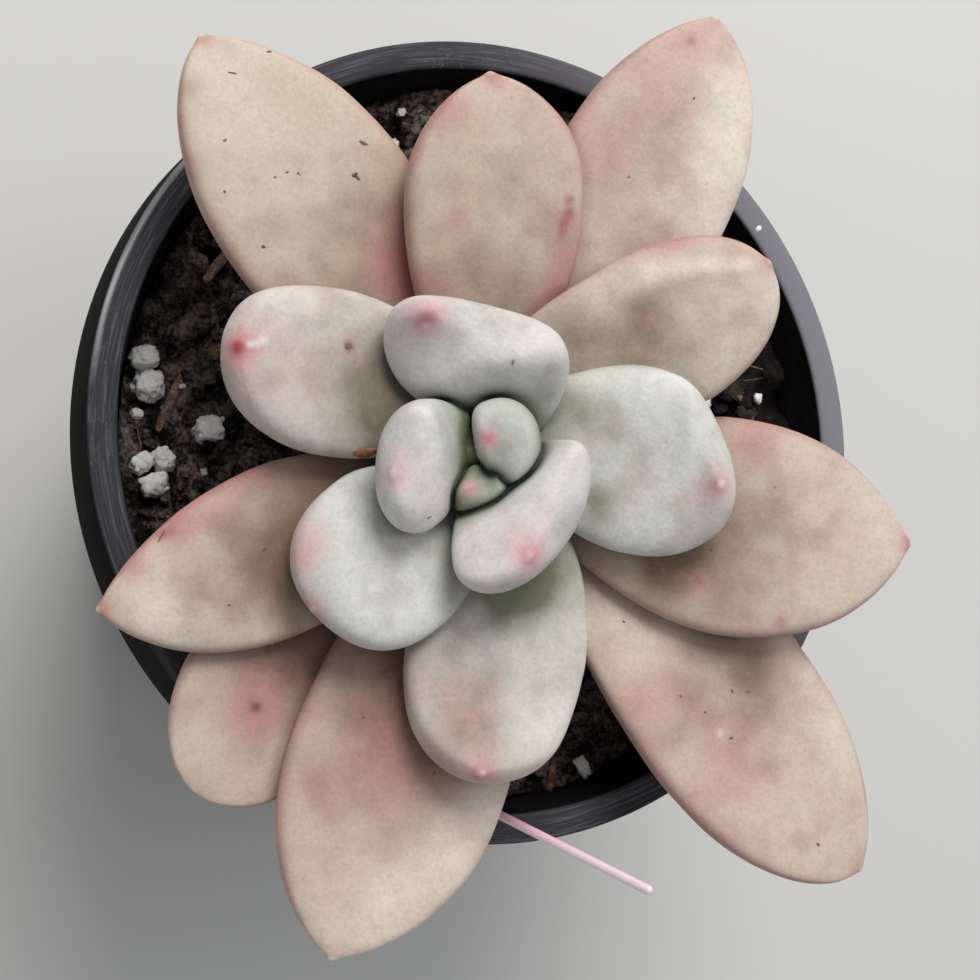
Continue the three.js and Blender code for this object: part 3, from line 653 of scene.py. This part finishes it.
# %% Stem
def stem_skin():
    material, add = new_material("olive_stem_skin")
    where = add("TexCoord").outputs["Object"]
    patch = add("TexNoise", Scale=per_mm(2.5), Detail=4.0, Vector=where)
    ramp = add("ValToRGB", Fac=patch)
    for stop, position, colour in zip(ramp.color_ramp.elements, (0.35, 0.7), ("#4E5237", "#8C8C68")):
        stop.position = position
        stop.color = linear(colour)
    relief = add("Bump", Strength=0.5, Distance=0.3 * MM, Height=patch)
    skin = add("BsdfPrincipled", Roughness=0.6, IOR=1.45, Subsurface_Weight=0.1,
               Subsurface_Scale=MM, Base_Color=ramp, Normal=relief)
    add("OutputMaterial", Surface=skin)
    return material


def strung(axis_points, radii, sides):
    """Rings of a given radius round an axis, closed at both ends."""
    axis = np.asarray(axis_points, float)
    way = unit(axis[-1] - axis[0])
    first = unit(np.cross(way, [0.3, 1.0, 0.1]))
    second = np.cross(way, first)
    angle = np.linspace(0, 2 * np.pi, sides, endpoint=False)
    ring = np.cos(angle)[:, None] * first + np.sin(angle)[:, None] * second
    rings = [centre + ring * radius for centre, radius in zip(axis, radii)]
    return np.vstack([axis[0], *rings, axis[-1]]), ring_faces(len(axis), sides)


STEM_FOOT_RADIUS = 5.3
STEM_TOP_RADIUS = 2.4
DOME_START = 0.93
SCAR_HEIGHT = 0.18
SCAR_PACE = 60
along_stem = np.linspace(0, 1, 90)
dome = np.sqrt(np.clip(1 - np.clip((along_stem - DOME_START) / (1 - DOME_START), 0, 1) ** 2, 0, 1))
scars = SCAR_HEIGHT * np.maximum(0, np.sin(along_stem * SCAR_PACE)) ** 6
taper = STEM_FOOT_RADIUS + (STEM_TOP_RADIUS - STEM_FOOT_RADIUS) * along_stem
stem_radii = (taper + scars) * np.maximum(dome, 0.02)
stem_axis = STEM_FOOT + along_stem[:, None] * (STEM_TOP - STEM_FOOT)
stem = piece_from("stem_with_scars", *strung(stem_axis, stem_radii, 40), stem_skin(), "stem_skin")
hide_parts("stem")
print("stem rings:", len(stem_axis))

# %% [markdown]
# ## Nursery pot
# The pot is injection-moulded polypropylene, black with carbon. Moulding leaves a slightly silky
# face, use leaves fine scratches that run round the rim, and potting leaves dust. The flat of the
# lip is painted grey as a painted sheen, with a painted highlight line along its outer edge on one
# side and a paler painted sheen on the other. Its form is a lathe shape, so its outline is turned
# about the axis, with each corner rounded by a few points. Holes are cut with the Boolean modifier,
# which keeps their edges clean.

# %% Pot plastic
LIP_STARTS = 79.6
LIP_FULL = 79.9
# the painted highlight line on the lip: its radius and the side it lies on
HIGHLIGHT_RADIUS = 52.1
HIGHLIGHT_WAY = (-0.88, 0.48, 0.0)
# the side of the lip that gets a paler painted sheen
SHEEN_WAY = (0.97, 0.25, 0.0)


def pot_plastic():
    material, add = new_material("moulded_black_polypropylene")
    where = add("TexCoord").outputs["Object"]
    split = add("SeparateXYZ", Vector=where)
    level = add("CombineXYZ", X=split.outputs[0], Y=split.outputs[1])
    radius = add("VectorMath", "LENGTH", level)
    azimuth = add("Math", "ARCTAN2", split.outputs[1], split.outputs[0])
    # rings round the axis: the angle is squeezed, so that scratches run a few centimetres
    squeezed = add("Math", "MULTIPLY", azimuth, 2.0 * MM)
    round_way = add("CombineXYZ", X=radius, Y=squeezed, Z=split.outputs[2])
    scratch = add("TexNoise", Scale=per_mm(0.3), Detail=3.0, Roughness=0.6, Vector=round_way)
    lines = add("MapRange", From_Min=0.5, From_Max=0.7, Value=scratch)
    film = add("TexNoise", Scale=per_mm(14), Detail=5.0, Roughness=0.6, Vector=where)
    worn = add("MapRange", From_Min=0.42, From_Max=0.72, Value=film)
    # settled dust: 0.45 mm grains in patches
    grit = add("TexNoise", Scale=per_mm(0.45), Detail=2.0, Vector=where)
    grains = add("MapRange", From_Min=0.6, From_Max=0.75, Value=grit)
    dust = add("Math", "MULTIPLY", grains, worn)
    marks = add("Math", "MULTIPLY_ADD", lines, 0.6, dust, use_clamp=True)
    # the flat of the lip is painted grey, a painted sheen of light on the top face, and holds the
    # scratches; collar and wall stay black
    lip = add("MapRange", From_Min=LIP_STARTS * MM, From_Max=LIP_FULL * MM, Value=split.outputs[2])
    on_lip = add("Math", "MULTIPLY_ADD", lip, 0.28, 0.04)
    scuffed = add("Math", "MULTIPLY", marks, on_lip)
    black = add("Mix", "RGBA", worn, "#120F0F", "#1E1A1A")
    lip_sheen_and_scratches = add("Mix", "RGBA", scratch, "#2E2D32", "#48474D")
    colour = add("Mix", "RGBA", lip, black, lip_sheen_and_scratches)
    rubbed_matt = add("MapRange", To_Min=0.45, To_Max=0.62, Value=marks)
    matt = add("Mix", "FLOAT", lip, 0.9, rubbed_matt)
    relief = add("Bump", Strength=0.12, Distance=0.05 * MM, Height=scratch)
    # on one side a painted highlight runs along the outer edge of the lip as a pale line, 0.6 mm
    # to either side
    highlight_way = add("VectorMath", "DOT_PRODUCT", level, HIGHLIGHT_WAY)
    highlight_side = add("MapRange", From_Min=47.5 * MM, From_Max=51 * MM, Value=highlight_way)
    off_line = add("Math", "SUBTRACT", radius, HIGHLIGHT_RADIUS * MM)
    off_line = add("Math", "ABSOLUTE", off_line)
    line = add("MapRange", interpolation_type="SMOOTHSTEP", From_Min=0.6 * MM, From_Max=0.0,
               To_Max=1.3, Value=off_line)
    for share in (scratch, highlight_side, lip):
        line = add("Math", "MULTIPLY", line, share)
    # on the other side the lip is painted paler, a painted sheen
    sheen_way = add("VectorMath", "DOT_PRODUCT", level, SHEEN_WAY)
    sheen_side = add("MapRange", From_Min=10 * MM, From_Max=50 * MM, Value=sheen_way)
    dust_and_sheen = add("Math", "MULTIPLY", sheen_side, lip)
    # scratches and dust, the painted highlight line and the painted sheen, each over the plastic
    for share, tint in ((scuffed, "#A3A0A6"), (line, "#BDBBBE"), (dust_and_sheen, "#85838A")):
        colour = add("Mix", "RGBA", share, colour, tint)
    plastic = add("BsdfPrincipled", IOR=1.49, Specular_IOR_Level=0.08, Base_Color=colour,
                  Roughness=matt, Normal=relief)
    add("OutputMaterial", Surface=plastic)
    return material


# %% Pot form
RIM_RADIUS = 52.5
LIP_WIDTH = 3.75
LIP_THICKNESS = 1.5
COLLAR_DEPTH = 10.0
COLLAR_WALL = 1.4
COLLAR_FLARE = 0.5
WALL_THICKNESS = 1.6
WALL_SLOPE = 0.164
FLOOR_THICKNESS = 2.2
FOOT_WIDTH = 6.0
FOOT_DEPTH = 0.8
FOOT_DISC_RADIUS = 14.0
DRAIN_COUNT = 6
DRAIN_RADIUS = 3.5
DRAIN_CIRCLE = 24.0
POT_SIDES = 180


def inner_wall(height):
    return RIM_RADIUS - LIP_WIDTH - (RIM_HEIGHT - height) * WALL_SLOPE


def rounded(outline, steps=4):
    """Each (radius, height, rounding) corner becomes a short arc."""
    done = []
    for before, corner, after in zip(outline[:-2], outline[1:-1], outline[2:]):
        here = np.array(corner[:2])
        first = unit(np.array(before[:2]) - here)
        second = unit(np.array(after[:2]) - here)
        for t in np.linspace(0, 1, steps):
            reach = corner[2]
            done.append(here + reach * ((1 - t) ** 2 * first + t**2 * second))
    return [np.array(outline[0][:2])] + done + [np.array(outline[-1][:2])]


def turned(outline, sides):
    """A closed form of revolution whose outline starts and ends on the axis."""
    angle = np.linspace(0, 2 * np.pi, sides, endpoint=False)
    points = [(0, 0, outline[0][1])]
    for radius, height in outline[1:-1]:
        points.extend(zip(radius * np.cos(angle), radius * np.sin(angle), [height] * sides))
    points.append((0, 0, outline[-1][1]))
    return np.array(points, float), ring_faces(len(outline) - 2, sides)


class Heap:
    """Gathers many small closed bodies into one mesh."""

    def __init__(self):
        self.points = []
        self.faces = []

    def drop(self, points, faces):
        start = len(self.points)
        self.points.extend(points)
        self.faces.extend(tuple(k + start for k in f) for f in faces)

    def piece(self, name, material, smooth=True):
        return piece_from(name, self.points, self.faces, material, "peat_mix", smooth)


def outer_wall(height):
    return inner_wall(height) + WALL_THICKNESS


lip_inside = RIM_RADIUS - LIP_WIDTH
lip_underside = RIM_HEIGHT - LIP_THICKNESS
collar_foot = RIM_HEIGHT - COLLAR_DEPTH
foot = outer_wall(0)
pot_outline = rounded([
    (0, 0, 0),
    (FOOT_DISC_RADIUS, 0, 0.2),
    (FOOT_DISC_RADIUS + FOOT_DEPTH, FOOT_DEPTH, 0.2),
    (foot - FOOT_WIDTH, FOOT_DEPTH, 0.2),
    (foot - FOOT_WIDTH + FOOT_DEPTH, 0, 0.2),
    (foot, 0, 1.0),
    (outer_wall(lip_underside), lip_underside, 0.5),
    (RIM_RADIUS - COLLAR_WALL, lip_underside, 0.5),
    (RIM_RADIUS - COLLAR_WALL + COLLAR_FLARE, collar_foot, 0.3),
    (RIM_RADIUS + COLLAR_FLARE, collar_foot, 0.3),
    (RIM_RADIUS, RIM_HEIGHT, 0.5),
    (lip_inside, RIM_HEIGHT, 0.7),
    (inner_wall(FLOOR_THICKNESS), FLOOR_THICKNESS, 0.8),
    (0, FLOOR_THICKNESS, 0),
])
pot = piece_from("nursery_pot", *turned(pot_outline, POT_SIDES), pot_plastic(), "pot_plastic")

holes = Heap()
for i in range(DRAIN_COUNT):
    centre = heading(360 / DRAIN_COUNT * (i + 0.5)) * DRAIN_CIRCLE
    holes.drop(*strung([centre - [0, 0, 2], centre + [0, 0, 5]], [DRAIN_RADIUS, DRAIN_RADIUS], 32))
cutter = placed("drain_cutter", mesh_of("drain_cutter", holes.points, holes.faces))
cut = pot.modifiers.new("drain holes", "BOOLEAN")
cut.operation = "DIFFERENCE"
cut.solver = "EXACT"
cut.object = cutter
drained = bpy.data.meshes.new_from_object(pot.evaluated_get(bpy.context.evaluated_depsgraph_get()))
pot.modifiers.clear()
pot.data = drained
bpy.data.objects.remove(cutter)
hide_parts("pot")
print("pot faces:", len(pot.data.polygons))

# %% [markdown]
# ## Soil
# The soil is dark peat with bark, a few sticks and white perlite. Its bed is one displaced disc,
# high and low by a few millimetres where it was pressed down and banked up against the wall, and
# the loose parts lie on it: crumbs of peat, angular chips of bark, fine roots and grains of
# perlite. They could be scattered by a particle system, but those don't leave Blender as meshes,
# so each kind is one joined mesh.

# %% Soil materials
# where the painted shade on the +X side of the soil is full, and where it ends
SHADED_SIDE = (34.0, 14.0)


def crumbly(name, dark, light, grain_size, roughness, strength, shade_share=1.0, shine=0.5):
    """Porous or fibrous matter: dark and light by noise with grains of this many millimetres."""
    material, add = new_material(name)
    where = add("TexCoord").outputs["Object"]
    coarse = add("TexNoise", Scale=per_mm(grain_size * 5), Detail=4.0, Vector=where)
    fine = add("TexNoise", Scale=per_mm(grain_size), Detail=5.0, Roughness=0.7, Vector=where)
    both = add("Math", "MULTIPLY", coarse, fine)
    part = add("MapRange", From_Min=0.21, From_Max=0.4, Value=both)
    # toward +X, between these distances from the middle, the mix is painted darker: painted shade
    split = add("SeparateXYZ", Vector=where)
    unshaded = add("MapRange", From_Min=SHADED_SIDE[0] * MM, From_Max=SHADED_SIDE[1] * MM, To_Min=shade_share,
              Value=split.outputs[0])
    part = add("Math", "MULTIPLY", part, unshaded)
    colour = add("Mix", "RGBA", part, dark, light)
    relief = add("Bump", Strength=strength, Distance=0.3 * MM, Height=fine)
    matter = add("BsdfPrincipled", Roughness=roughness, IOR=1.4, Specular_IOR_Level=shine,
                 Base_Color=colour, Normal=relief)
    add("OutputMaterial", Surface=matter)
    return material


PEAT = crumbly("damp_peat", "#120E0D", "#94827A", 0.6, 0.6, 1.0, shade_share=0.1, shine=0.2)
BARK_SKIN = crumbly("composted_bark", "#221A17", "#8A7A74", 0.5, 0.7, 0.8, shade_share=0.2)
PALE_STICK = crumbly("dry_wood_splinter", "#64493A", "#BA9A86", 0.4, 0.8, 0.6)
PERLITE_SKIN = crumbly("expanded_perlite", "#FAF8F4", "#FFFFFF", 0.5, 0.9, 0.9)
ROOT_SKIN = crumbly("dry_root_fibre", "#6A5646", "#B09A84", 0.5, 0.8, 0.3)
FLECK_SKIN = crumbly("dried_sap_and_dirt", "#6E5C4A", "#A48E78", 0.2, 0.8, 0.5)
print("soil materials ready")

# %% Soil bed
SOIL_LEVEL = 66.8
SOIL_RISE_X = -0.01
SOIL_RISE_Y = 0.045
BANK_RISE = 7.0
BANK_START = 26.0
BANK_WIDTH = 18.0
CLEARANCE = 0.3
SOIL_SIDES = 240
SOIL_RINGS = 110


def soil_height(x, y):
    swell = 0.55 * math.sin(0.21 * x + 1.3) * math.cos(0.17 * y - 0.4)
    clods = 0.4 * math.sin(0.71 * x - 0.52 * y + 0.8) + 0.3 * math.cos(0.33 * x + 0.83 * y)
    level = SOIL_LEVEL + SOIL_RISE_X * x + SOIL_RISE_Y * y + swell + clods
    # everywhere but on the -X side the soil is banked up against the wall, as the picture shows
    out = math.hypot(x, y)
    near_wall = min(1, max(0, (out - BANK_START) / BANK_WIDTH))
    side = min(1, max(0, 0.9 + 0.9 * x / max(out, 1)))
    return level + BANK_RISE * side * near_wall**2 * (3 - 2 * near_wall)


def bed_height(x, y):
    at = Vector((x, y, 0))
    lumps = 1.8 * noise.noise(at / 4.0) + 1.7 * abs(noise.noise(at / 2.6 + Vector((9, 0, 0))))
    crumbs = 0.45 * noise.noise(at / 0.9 + Vector((0, 7, 0)))
    return soil_height(x, y) - 0.35 + lumps + crumbs


floor_height = FLOOR_THICKNESS + CLEARANCE
edge = inner_wall(SOIL_LEVEL) - CLEARANCE
bed_outline = [(0, floor_height), (inner_wall(floor_height) - CLEARANCE, floor_height)]
bed_outline += [(edge * ring / SOIL_RINGS, SOIL_LEVEL) for ring in range(SOIL_RINGS, 0, -1)]
bed_outline.append((0, SOIL_LEVEL))
bed_points, bed_faces = turned(bed_outline, SOIL_SIDES)
for i, (px, py, pz) in enumerate(bed_points):
    if pz > SOIL_LEVEL - 1:
        height = bed_height(px, py)
        spread = (inner_wall(height) - CLEARANCE) / edge
        bed_points[i] = (px * spread, py * spread, height)
bed = piece_from("peat_bed", bed_points, bed_faces, PEAT, "peat_mix")
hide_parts("soil")
print("bed points:", len(bed_points))

# %% Loose parts on the soil
def ball(subdivisions):
    """Points and triangles of an icosphere of radius 1."""
    shape = bmesh.new()
    bmesh.ops.create_icosphere(shape, subdivisions=subdivisions, radius=1.0)
    points = np.array([v.co[:] for v in shape.verts])
    faces = [tuple(v.index for v in f.verts) for f in shape.faces]
    shape.free()
    return points, faces


def noisy(points, scale, shift):
    return np.array([noise.noise(Vector(p) * scale + Vector(shift)) for p in points])


def clump(points, size, spin, lumpy, seed, block=0.0, tilt=0.0, crack=0.0):
    """A ball pressed toward a box, made lumpy, scaled, tilted and turned."""
    reach = np.abs(points).max(axis=1, keepdims=True)
    shape = points * (1 + block * (1 / reach - 1))
    bumps = noisy(shape, 1.4, (seed * 3.7, seed, 0)) + 0.4 * noisy(shape, 3.6, (0, seed * 2.3, 5))
    if crack:
        # clefts run where a second noise passes through zero
        level = np.abs(noisy(shape, 1.9, (seed, 8, seed)))
        bumps -= crack / lumpy * np.maximum(0, 1 - level / 0.07)
        bumps += 0.4 * noisy(shape, 7, (0, seed, seed))
    shape = shape * (1 + lumpy * bumps)[:, None] * np.array(size) / 2
    c, s = math.cos(math.radians(tilt)), math.sin(math.radians(tilt))
    shape = shape @ np.array([[c, 0, s], [0, 1, 0], [-s, 0, c]])
    c, s = math.cos(math.radians(spin)), math.sin(math.radians(spin))
    return shape @ np.array([[c, s, 0], [-s, c, 0], [0, 0, 1]])


def grain(heap, shape, size, place, spin, lumpy, seed, axes=np.eye(3), **form):
    """Drop one clump on a heap at this place, lying along these axes."""
    heap.drop(clump(shape[0], size, spin, lumpy, seed, **form) @ axes + np.array(place), shape[1])


FINE_BALL = ball(4)
MIDDLE_BALL = ball(2)
SMALL_BALL = ball(1)

# perlite, bark and sticks seen in the photograph: x, y, length, width, height, turn
PERLITE = [
    (-43.2, 10.2, 3.9, 2.8, 2.6, 10), (-42.7, 6.9, 4.3, 4, 3.4, 70), (-34.9, 1.2, 3.8, 3.5, 3, 0),
    (-43.6, -3.2, 3.2, 2.6, 2.4, 40), (-40.6, -2.6, 3.4, 2.9, 2.8, 110), (-42, -6, 3.9, 3.1, 2.6, 20),
    (-44, 3.2, 1.6, 1.4, 1.2, 0), (-10.6, 39.8, 1.8, 1.5, 1.3, 30), (-9.7, 43.8, 1.4, 1.2, 1.1, 0),
    (34.9, 6.6, 3, 2.4, 2.2, 60), (7.5, -43, 1.8, 1.5, 1.3, 15), (14, -43.4, 3, 1.7, 1.6, -60),
    (-32.5, 7.1, 0.9, 0.7, 0.7, 0), (-33.1, 2.6, 1.1, 0.8, 0.8, 60), (-30.6, 15.9, 0.9, 0.7, 0.6, 30),
    (-38.3, 6.8, 0.9, 0.6, 0.6, 20), (-35.4, -4, 1.2, 0.9, 0.8, 90), (42.2, 7, 1.4, 1.2, 1.1, 80),
    (27, -33, 2.2, 1.8, 1.6, 45), (-24, 31, 2.4, 2, 1.7, 130),
]
BARK = [
    (-39.8, 19, 3.6, 2.6, 1.6, 40), (-30, 17.5, 4.6, 3, 1.6, -20), (-27.5, 27.5, 5, 3.2, 1.8, 75),
    (24.5, -37.5, 5.4, 3, 1.6, 30), (7.5, -42.5, 4.4, 2.8, 1.4, -35), (33, 27, 6, 3.4, 1.8, 15),
    (39.5, 8.3, 3.6, 2.2, 1.4, 50), (-20, -33, 6.2, 3.6, 1.8, 140), (30, -18, 6.4, 3.6, 1.8, 60),
    (-14, 36, 5, 2.8, 1.6, -50),
]
SPLINTERS = [
    (-39.8, 4.8, 8.6, 1.3, 1.2, 66), (-33.8, 22.8, 6, 1.4, 1.2, 52), (10, -44.2, 4.6, 1.1, 1.1, 80),
    (-33.9, 11.4, 2.6, 1.9, 1.6, 20), (40.4, 5.6, 4.4, 1, 1, 120),
]


def lay(rows, shape, raised, lumpy, first_seed, swing=0, **form):
    """A heap of the parts in a table, each raised by a share of its height and tilted a little."""
    heap = Heap()
    for i, (px, py, length, width, height, spin) in enumerate(rows):
        place = (px, py, soil_height(px, py) + raised * height)
        grain(heap, shape, (length, width, height), place, spin, lumpy, i + first_seed,
              tilt=swing * (i % 3 - 1), **form)
    return heap


perlite = lay(PERLITE, FINE_BALL, 0.3, 0.3, 0, block=0.3, crack=0.35)
bark = lay(BARK, MIDDLE_BALL, 0.2, 0.16, 30, swing=8, block=0.75)
splinters = lay(SPLINTERS, MIDDLE_BALL, 0.3, 0.12, 50, block=0.6)
splinters.piece("wood_splinters", PALE_STICK, False)
print("laid by hand:", len(PERLITE), "perlite", len(BARK), "bark", len(SPLINTERS), "splinters")

# %% Scattered parts
draw = random.Random(7)
EDGE_KEEP = 1.6
CRUMB_COUNT = 950
PERLITE_BITS = 90
CLOD_COUNT = 230
CHIP_COUNT = 150
FIBRE_COUNT = 90


def somewhere():
    angle = draw.uniform(0, 2 * math.pi)
    radius = (edge - EDGE_KEEP) * math.sqrt(draw.random())
    return radius * math.cos(angle), radius * math.sin(angle)


def drawn(value):
    """A number as it is, or one drawn from a range."""
    return draw.uniform(*value) if isinstance(value, tuple) else value


def scatter(heap, shape, count, first_seed, lumpy, sizes, proportions, lift=0.0, raised=0.15, tilt=0.0,
            block=0.0):
    """Strew parts on the bed. Sizes: least size, range and power; proportions: length to height."""
    least, span, power = sizes
    long, wide, high = proportions
    for seed in range(first_seed, first_seed + count):
        px, py = somewhere()
        size = least + span * draw.random() ** power
        shaped = (size * drawn(long), size * drawn(wide), size * high)
        place = (px, py, bed_height(px, py) + lift + raised * size)
        grain(heap, shape, shaped, place, draw.uniform(0, 180), lumpy, seed, block=block,
              tilt=drawn(tilt))


crumbs = Heap()
scatter(crumbs, SMALL_BALL, CRUMB_COUNT, 100, 0.3, (0.6, 1.6, 1.8), ((0.9, 1.5), 1, 0.8))
scatter(perlite, SMALL_BALL, PERLITE_BITS, 3000, 0.4, (0.3, 0.8, 2), (1.3, 1, 0.8), lift=0.35,
        raised=0.2)
perlite.piece("perlite_grains", PERLITE_SKIN)
scatter(crumbs, MIDDLE_BALL, CLOD_COUNT, 2100, 0.4, (1.8, 2.8, 1.5), ((0.9, 1.6), 1, 0.7),
        raised=0.1, tilt=(-30, 30), block=0.35)
crumbs.piece("peat_crumbs", PEAT, False)
scatter(bark, SMALL_BALL, CHIP_COUNT, 1200, 0.18, (1.8, 3.2, 1), (1, (0.35, 0.7), 0.25),
        tilt=(-25, 25), block=0.8)
bark.piece("bark_chips", BARK_SKIN, False)

fibres = Heap()
for _ in range(FIBRE_COUNT):
    px, py = somewhere()
    way = draw.uniform(0, 2 * math.pi)
    length = draw.uniform(2.5, 8)
    curl = draw.uniform(-0.5, 0.5)
    line = []
    for t in np.linspace(-0.5, 0.5, 7):
        fx = px + length * t * math.cos(way + curl * t)
        fy = py + length * t * math.sin(way + curl * t)
        if math.hypot(fx, fy) < edge - 1:
            line.append((fx, fy, bed_height(fx, fy) + 0.35 + 0.3 * math.cos(3 * t)))
    if len(line) > 3:
        radii = [0.05] + [draw.uniform(0.07, 0.13)] * (len(line) - 2) + [0.04]
        fibres.drop(*strung(line, radii, 5))
fibres.piece("root_fibres", ROOT_SKIN)
print("crumbs", CRUMB_COUNT + CLOD_COUNT, "chips", len(BARK) + CHIP_COUNT, "fibres", FIBRE_COUNT)

# %% [markdown]
# ## Flecks
# Sap that dried where a leaf was bruised, and bits of dirt splashed up by watering, sit on the wax as
# thin dark flecks a fraction of a millimetre across. Each is a flattened grain laid on the blade, so
# that it catches the light as the real ones do. A dry brown scale, left where an old leaf withered,
# lies in the gap between leaves 10 and 16, and two more bits lie on the lip of the pot.

# %% Flecks on the leaves and the lip
def on_blade(number, spot_u, across):
    """A place on the blade's upper face, with its directions along, across and out."""
    points = grown[number][0]
    i = spot_on(number, spot_u, across)
    out = outward(points, FACES)[i]
    along = unit(points[i + LEAF_SIDES] - points[i])
    along = unit(along - (along @ out) * out)
    return points[i], np.array([along, np.cross(out, along), out])


FLECK_HEIGHT = 0.14
flecks = {slot: Heap() for slot in SKINS}
for number, rows in FLECKS.items():
    for spot_u, across, length, width, spin in rows:
        place, axes = on_blade(number, spot_u, across)
        grain(flecks[slot_of(number)], MIDDLE_BALL, (length, width, FLECK_HEIGHT), place, spin, 0.45,
              number * 20 + spot_u, axes)
for slot, heap in flecks.items():
    piece = heap.piece(f"sap_flecks_{slot}", FLECK_SKIN)

SCALE_SIZE = (3.2, 1.3, 0.5)
scale = Heap()
place, axes = on_blade(10, 37, 93)
grain(scale, MIDDLE_BALL, SCALE_SIZE, place, 10, 0.5, 77, axes)
dry_scale = crumbly("dry_brown_scale", "#6B4128", "#C08A5C", 0.4, 0.8, 0.5)
piece = scale.piece("dry_scale", dry_scale)

# x, y, length, width, turn of the bits on the lip
LIP_GRAINS = [(40.3, 29.9, 1.1, 0.8, 40), (48.5, -0.6, 0.5, 0.4, 0)]
lip_grains = Heap()
for seed, (px, py, length, width, spin) in enumerate(LIP_GRAINS):
    grain(lip_grains, MIDDLE_BALL, (length, width, 0.3), (px, py, RIM_HEIGHT), spin, 0.4, seed + 9)
lip_grains.piece("grains_on_lip", PERLITE_SKIN, True)
print("flecks laid:", sum(len(rows) for rows in FLECKS.values()), "grains on the lip:", len(LIP_GRAINS))

# %% [markdown]
# ## Marker stick
# A thin pink plastic rod, extruded and cut, pushed into the soil beside the plant. It is glossy and
# a little translucent, and paler toward its free end. One flank carries a painted highlight, nearly
# white all along.

# %% Marker stick
# heights over which the rod turns paler toward its free end
PALER_FROM = 75.0
PALEST_AT = 99.0
# the way the flank with the painted highlight faces
HIGHLIGHT_FLANK_WAY = (-0.59, -0.81, 0.0)


def stick_plastic():
    material, add = new_material("extruded_pink_polystyrene")
    place = add("TexCoord")
    where = place.outputs["Object"]
    height = add("SeparateXYZ", Vector=where).outputs[2]
    paler_up = add("MapRange", From_Min=PALER_FROM * MM, From_Max=PALEST_AT * MM, Value=height)
    streak = add("TexNoise", Scale=per_mm(1.2), Detail=2.0, Vector=where)
    mixed = add("Math", "MULTIPLY_ADD", streak, 0.35, paler_up, use_clamp=True)
    colour = add("Mix", "RGBA", mixed, "#EE86B4", "#FDE0EC")
    # one flank carries a painted highlight, nearly white all along
    lit_flank = add("VectorMath", "DOT_PRODUCT", place.outputs["Normal"], HIGHLIGHT_FLANK_WAY)
    highlight = add("MapRange", From_Min=0.2, From_Max=0.8, To_Max=0.85, Value=lit_flank)
    colour = add("Mix", "RGBA", highlight, colour, "#FFF2F8")
    plastic = add("BsdfPrincipled", Roughness=0.28, IOR=1.59, Subsurface_Weight=0.3,
                  Subsurface_Radius=(1.0, 0.6, 0.7), Subsurface_Scale=0.5 * MM, Base_Color=colour)
    add("OutputMaterial", Surface=plastic)
    return material


STICK_FOOT = np.array([-19.5, -35.8, 57.5])
STICK_TIP = np.array([10.1, -57.5, 101.0])
STICK_RADIUS = 0.6
STICK_LENGTH = np.linalg.norm(STICK_TIP - STICK_FOOT)
along_stick = np.concatenate([np.linspace(0, 0.985, 40), 1 - 0.013 * (1 - np.sin(np.linspace(0.1, 1.5, 8)))])
stick_axis = STICK_FOOT + along_stick[:, None] * (STICK_TIP - STICK_FOOT)
to_end = (1 - along_stick) * STICK_LENGTH
stick_radii = STICK_RADIUS * np.sqrt(np.clip(1 - (1 - np.minimum(to_end / STICK_RADIUS, 1)) ** 2, 0.01, 1))
stick_radii = stick_radii * (0.82 + 0.18 * along_stick)
stick_form = strung(stick_axis, stick_radii, 28)
stick = piece_from("pink_marker_stick", *stick_form, stick_plastic(), "stick_plastic")
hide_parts("marker_stick")
print("stick length", round(float(STICK_LENGTH), 1), "mm")

# %% [markdown]
# ## Floor and light
# A plain pale floor and soft light, as by a window on a bright, cloudy day: a broad source high
# above the far side, a weaker, cooler one on the right, and an even sky. Small lamps would give
# hard shadows that the picture lacks.

# %% Floor
FLOOR_HALF = 20000.0
floor_material, add = new_material("pale_floor")
floor_skin = add("BsdfPrincipled", Base_Color="#D9D8D4", Roughness=0.8)
add("OutputMaterial", Surface=floor_skin)
floor_points = [(x * FLOOR_HALF, y * FLOOR_HALF, 0) for x, y in ((-1, -1), (1, -1), (1, 1), (-1, 1))]
floor = placed("floor", mesh_of("floor", floor_points, [(0, 1, 2, 3)]))
floor.data.materials.append(floor_material)
print("floor", 2 * FLOOR_HALF * MM, "m wide")

# %% Lights
LIGHTS = [
    # name, azimuth, elevation, distance, size, watts, colour
    ("window", 84, 48, 0.9, 0.6, 6.4, "#FFFDFA"),
    ("side", 12, 56, 1.1, 0.6, 1.6, "#F4F6FF"),
]
for name, azimuth, rise, distance, size, watts, tint in LIGHTS:
    data = bpy.data.lights.new(name, "AREA")
    data.shape = "DISK"
    data.size = size
    data.energy = watts
    data.color = linear(tint)[:3]
    lamp = placed(name, data)
    target = Vector((0, 0, RIM_HEIGHT * MM))
    lamp.location = target + Vector(heading(azimuth, rise)) * distance
    lamp.rotation_mode = "QUATERNION"
    lamp.rotation_quaternion = (target - lamp.location).to_track_quat("-Z", "Y")

world = bpy.data.worlds.new("sky")
world.use_nodes = True
sky = world.node_tree.nodes["Background"]
sky.inputs["Color"].default_value = linear("#F1F4F8")
sky.inputs["Strength"].default_value = 0.4
bpy.context.scene.world = world
bpy.context.scene.view_settings.view_transform = "Standard"
print("lights:", [row[0] for row in LIGHTS])
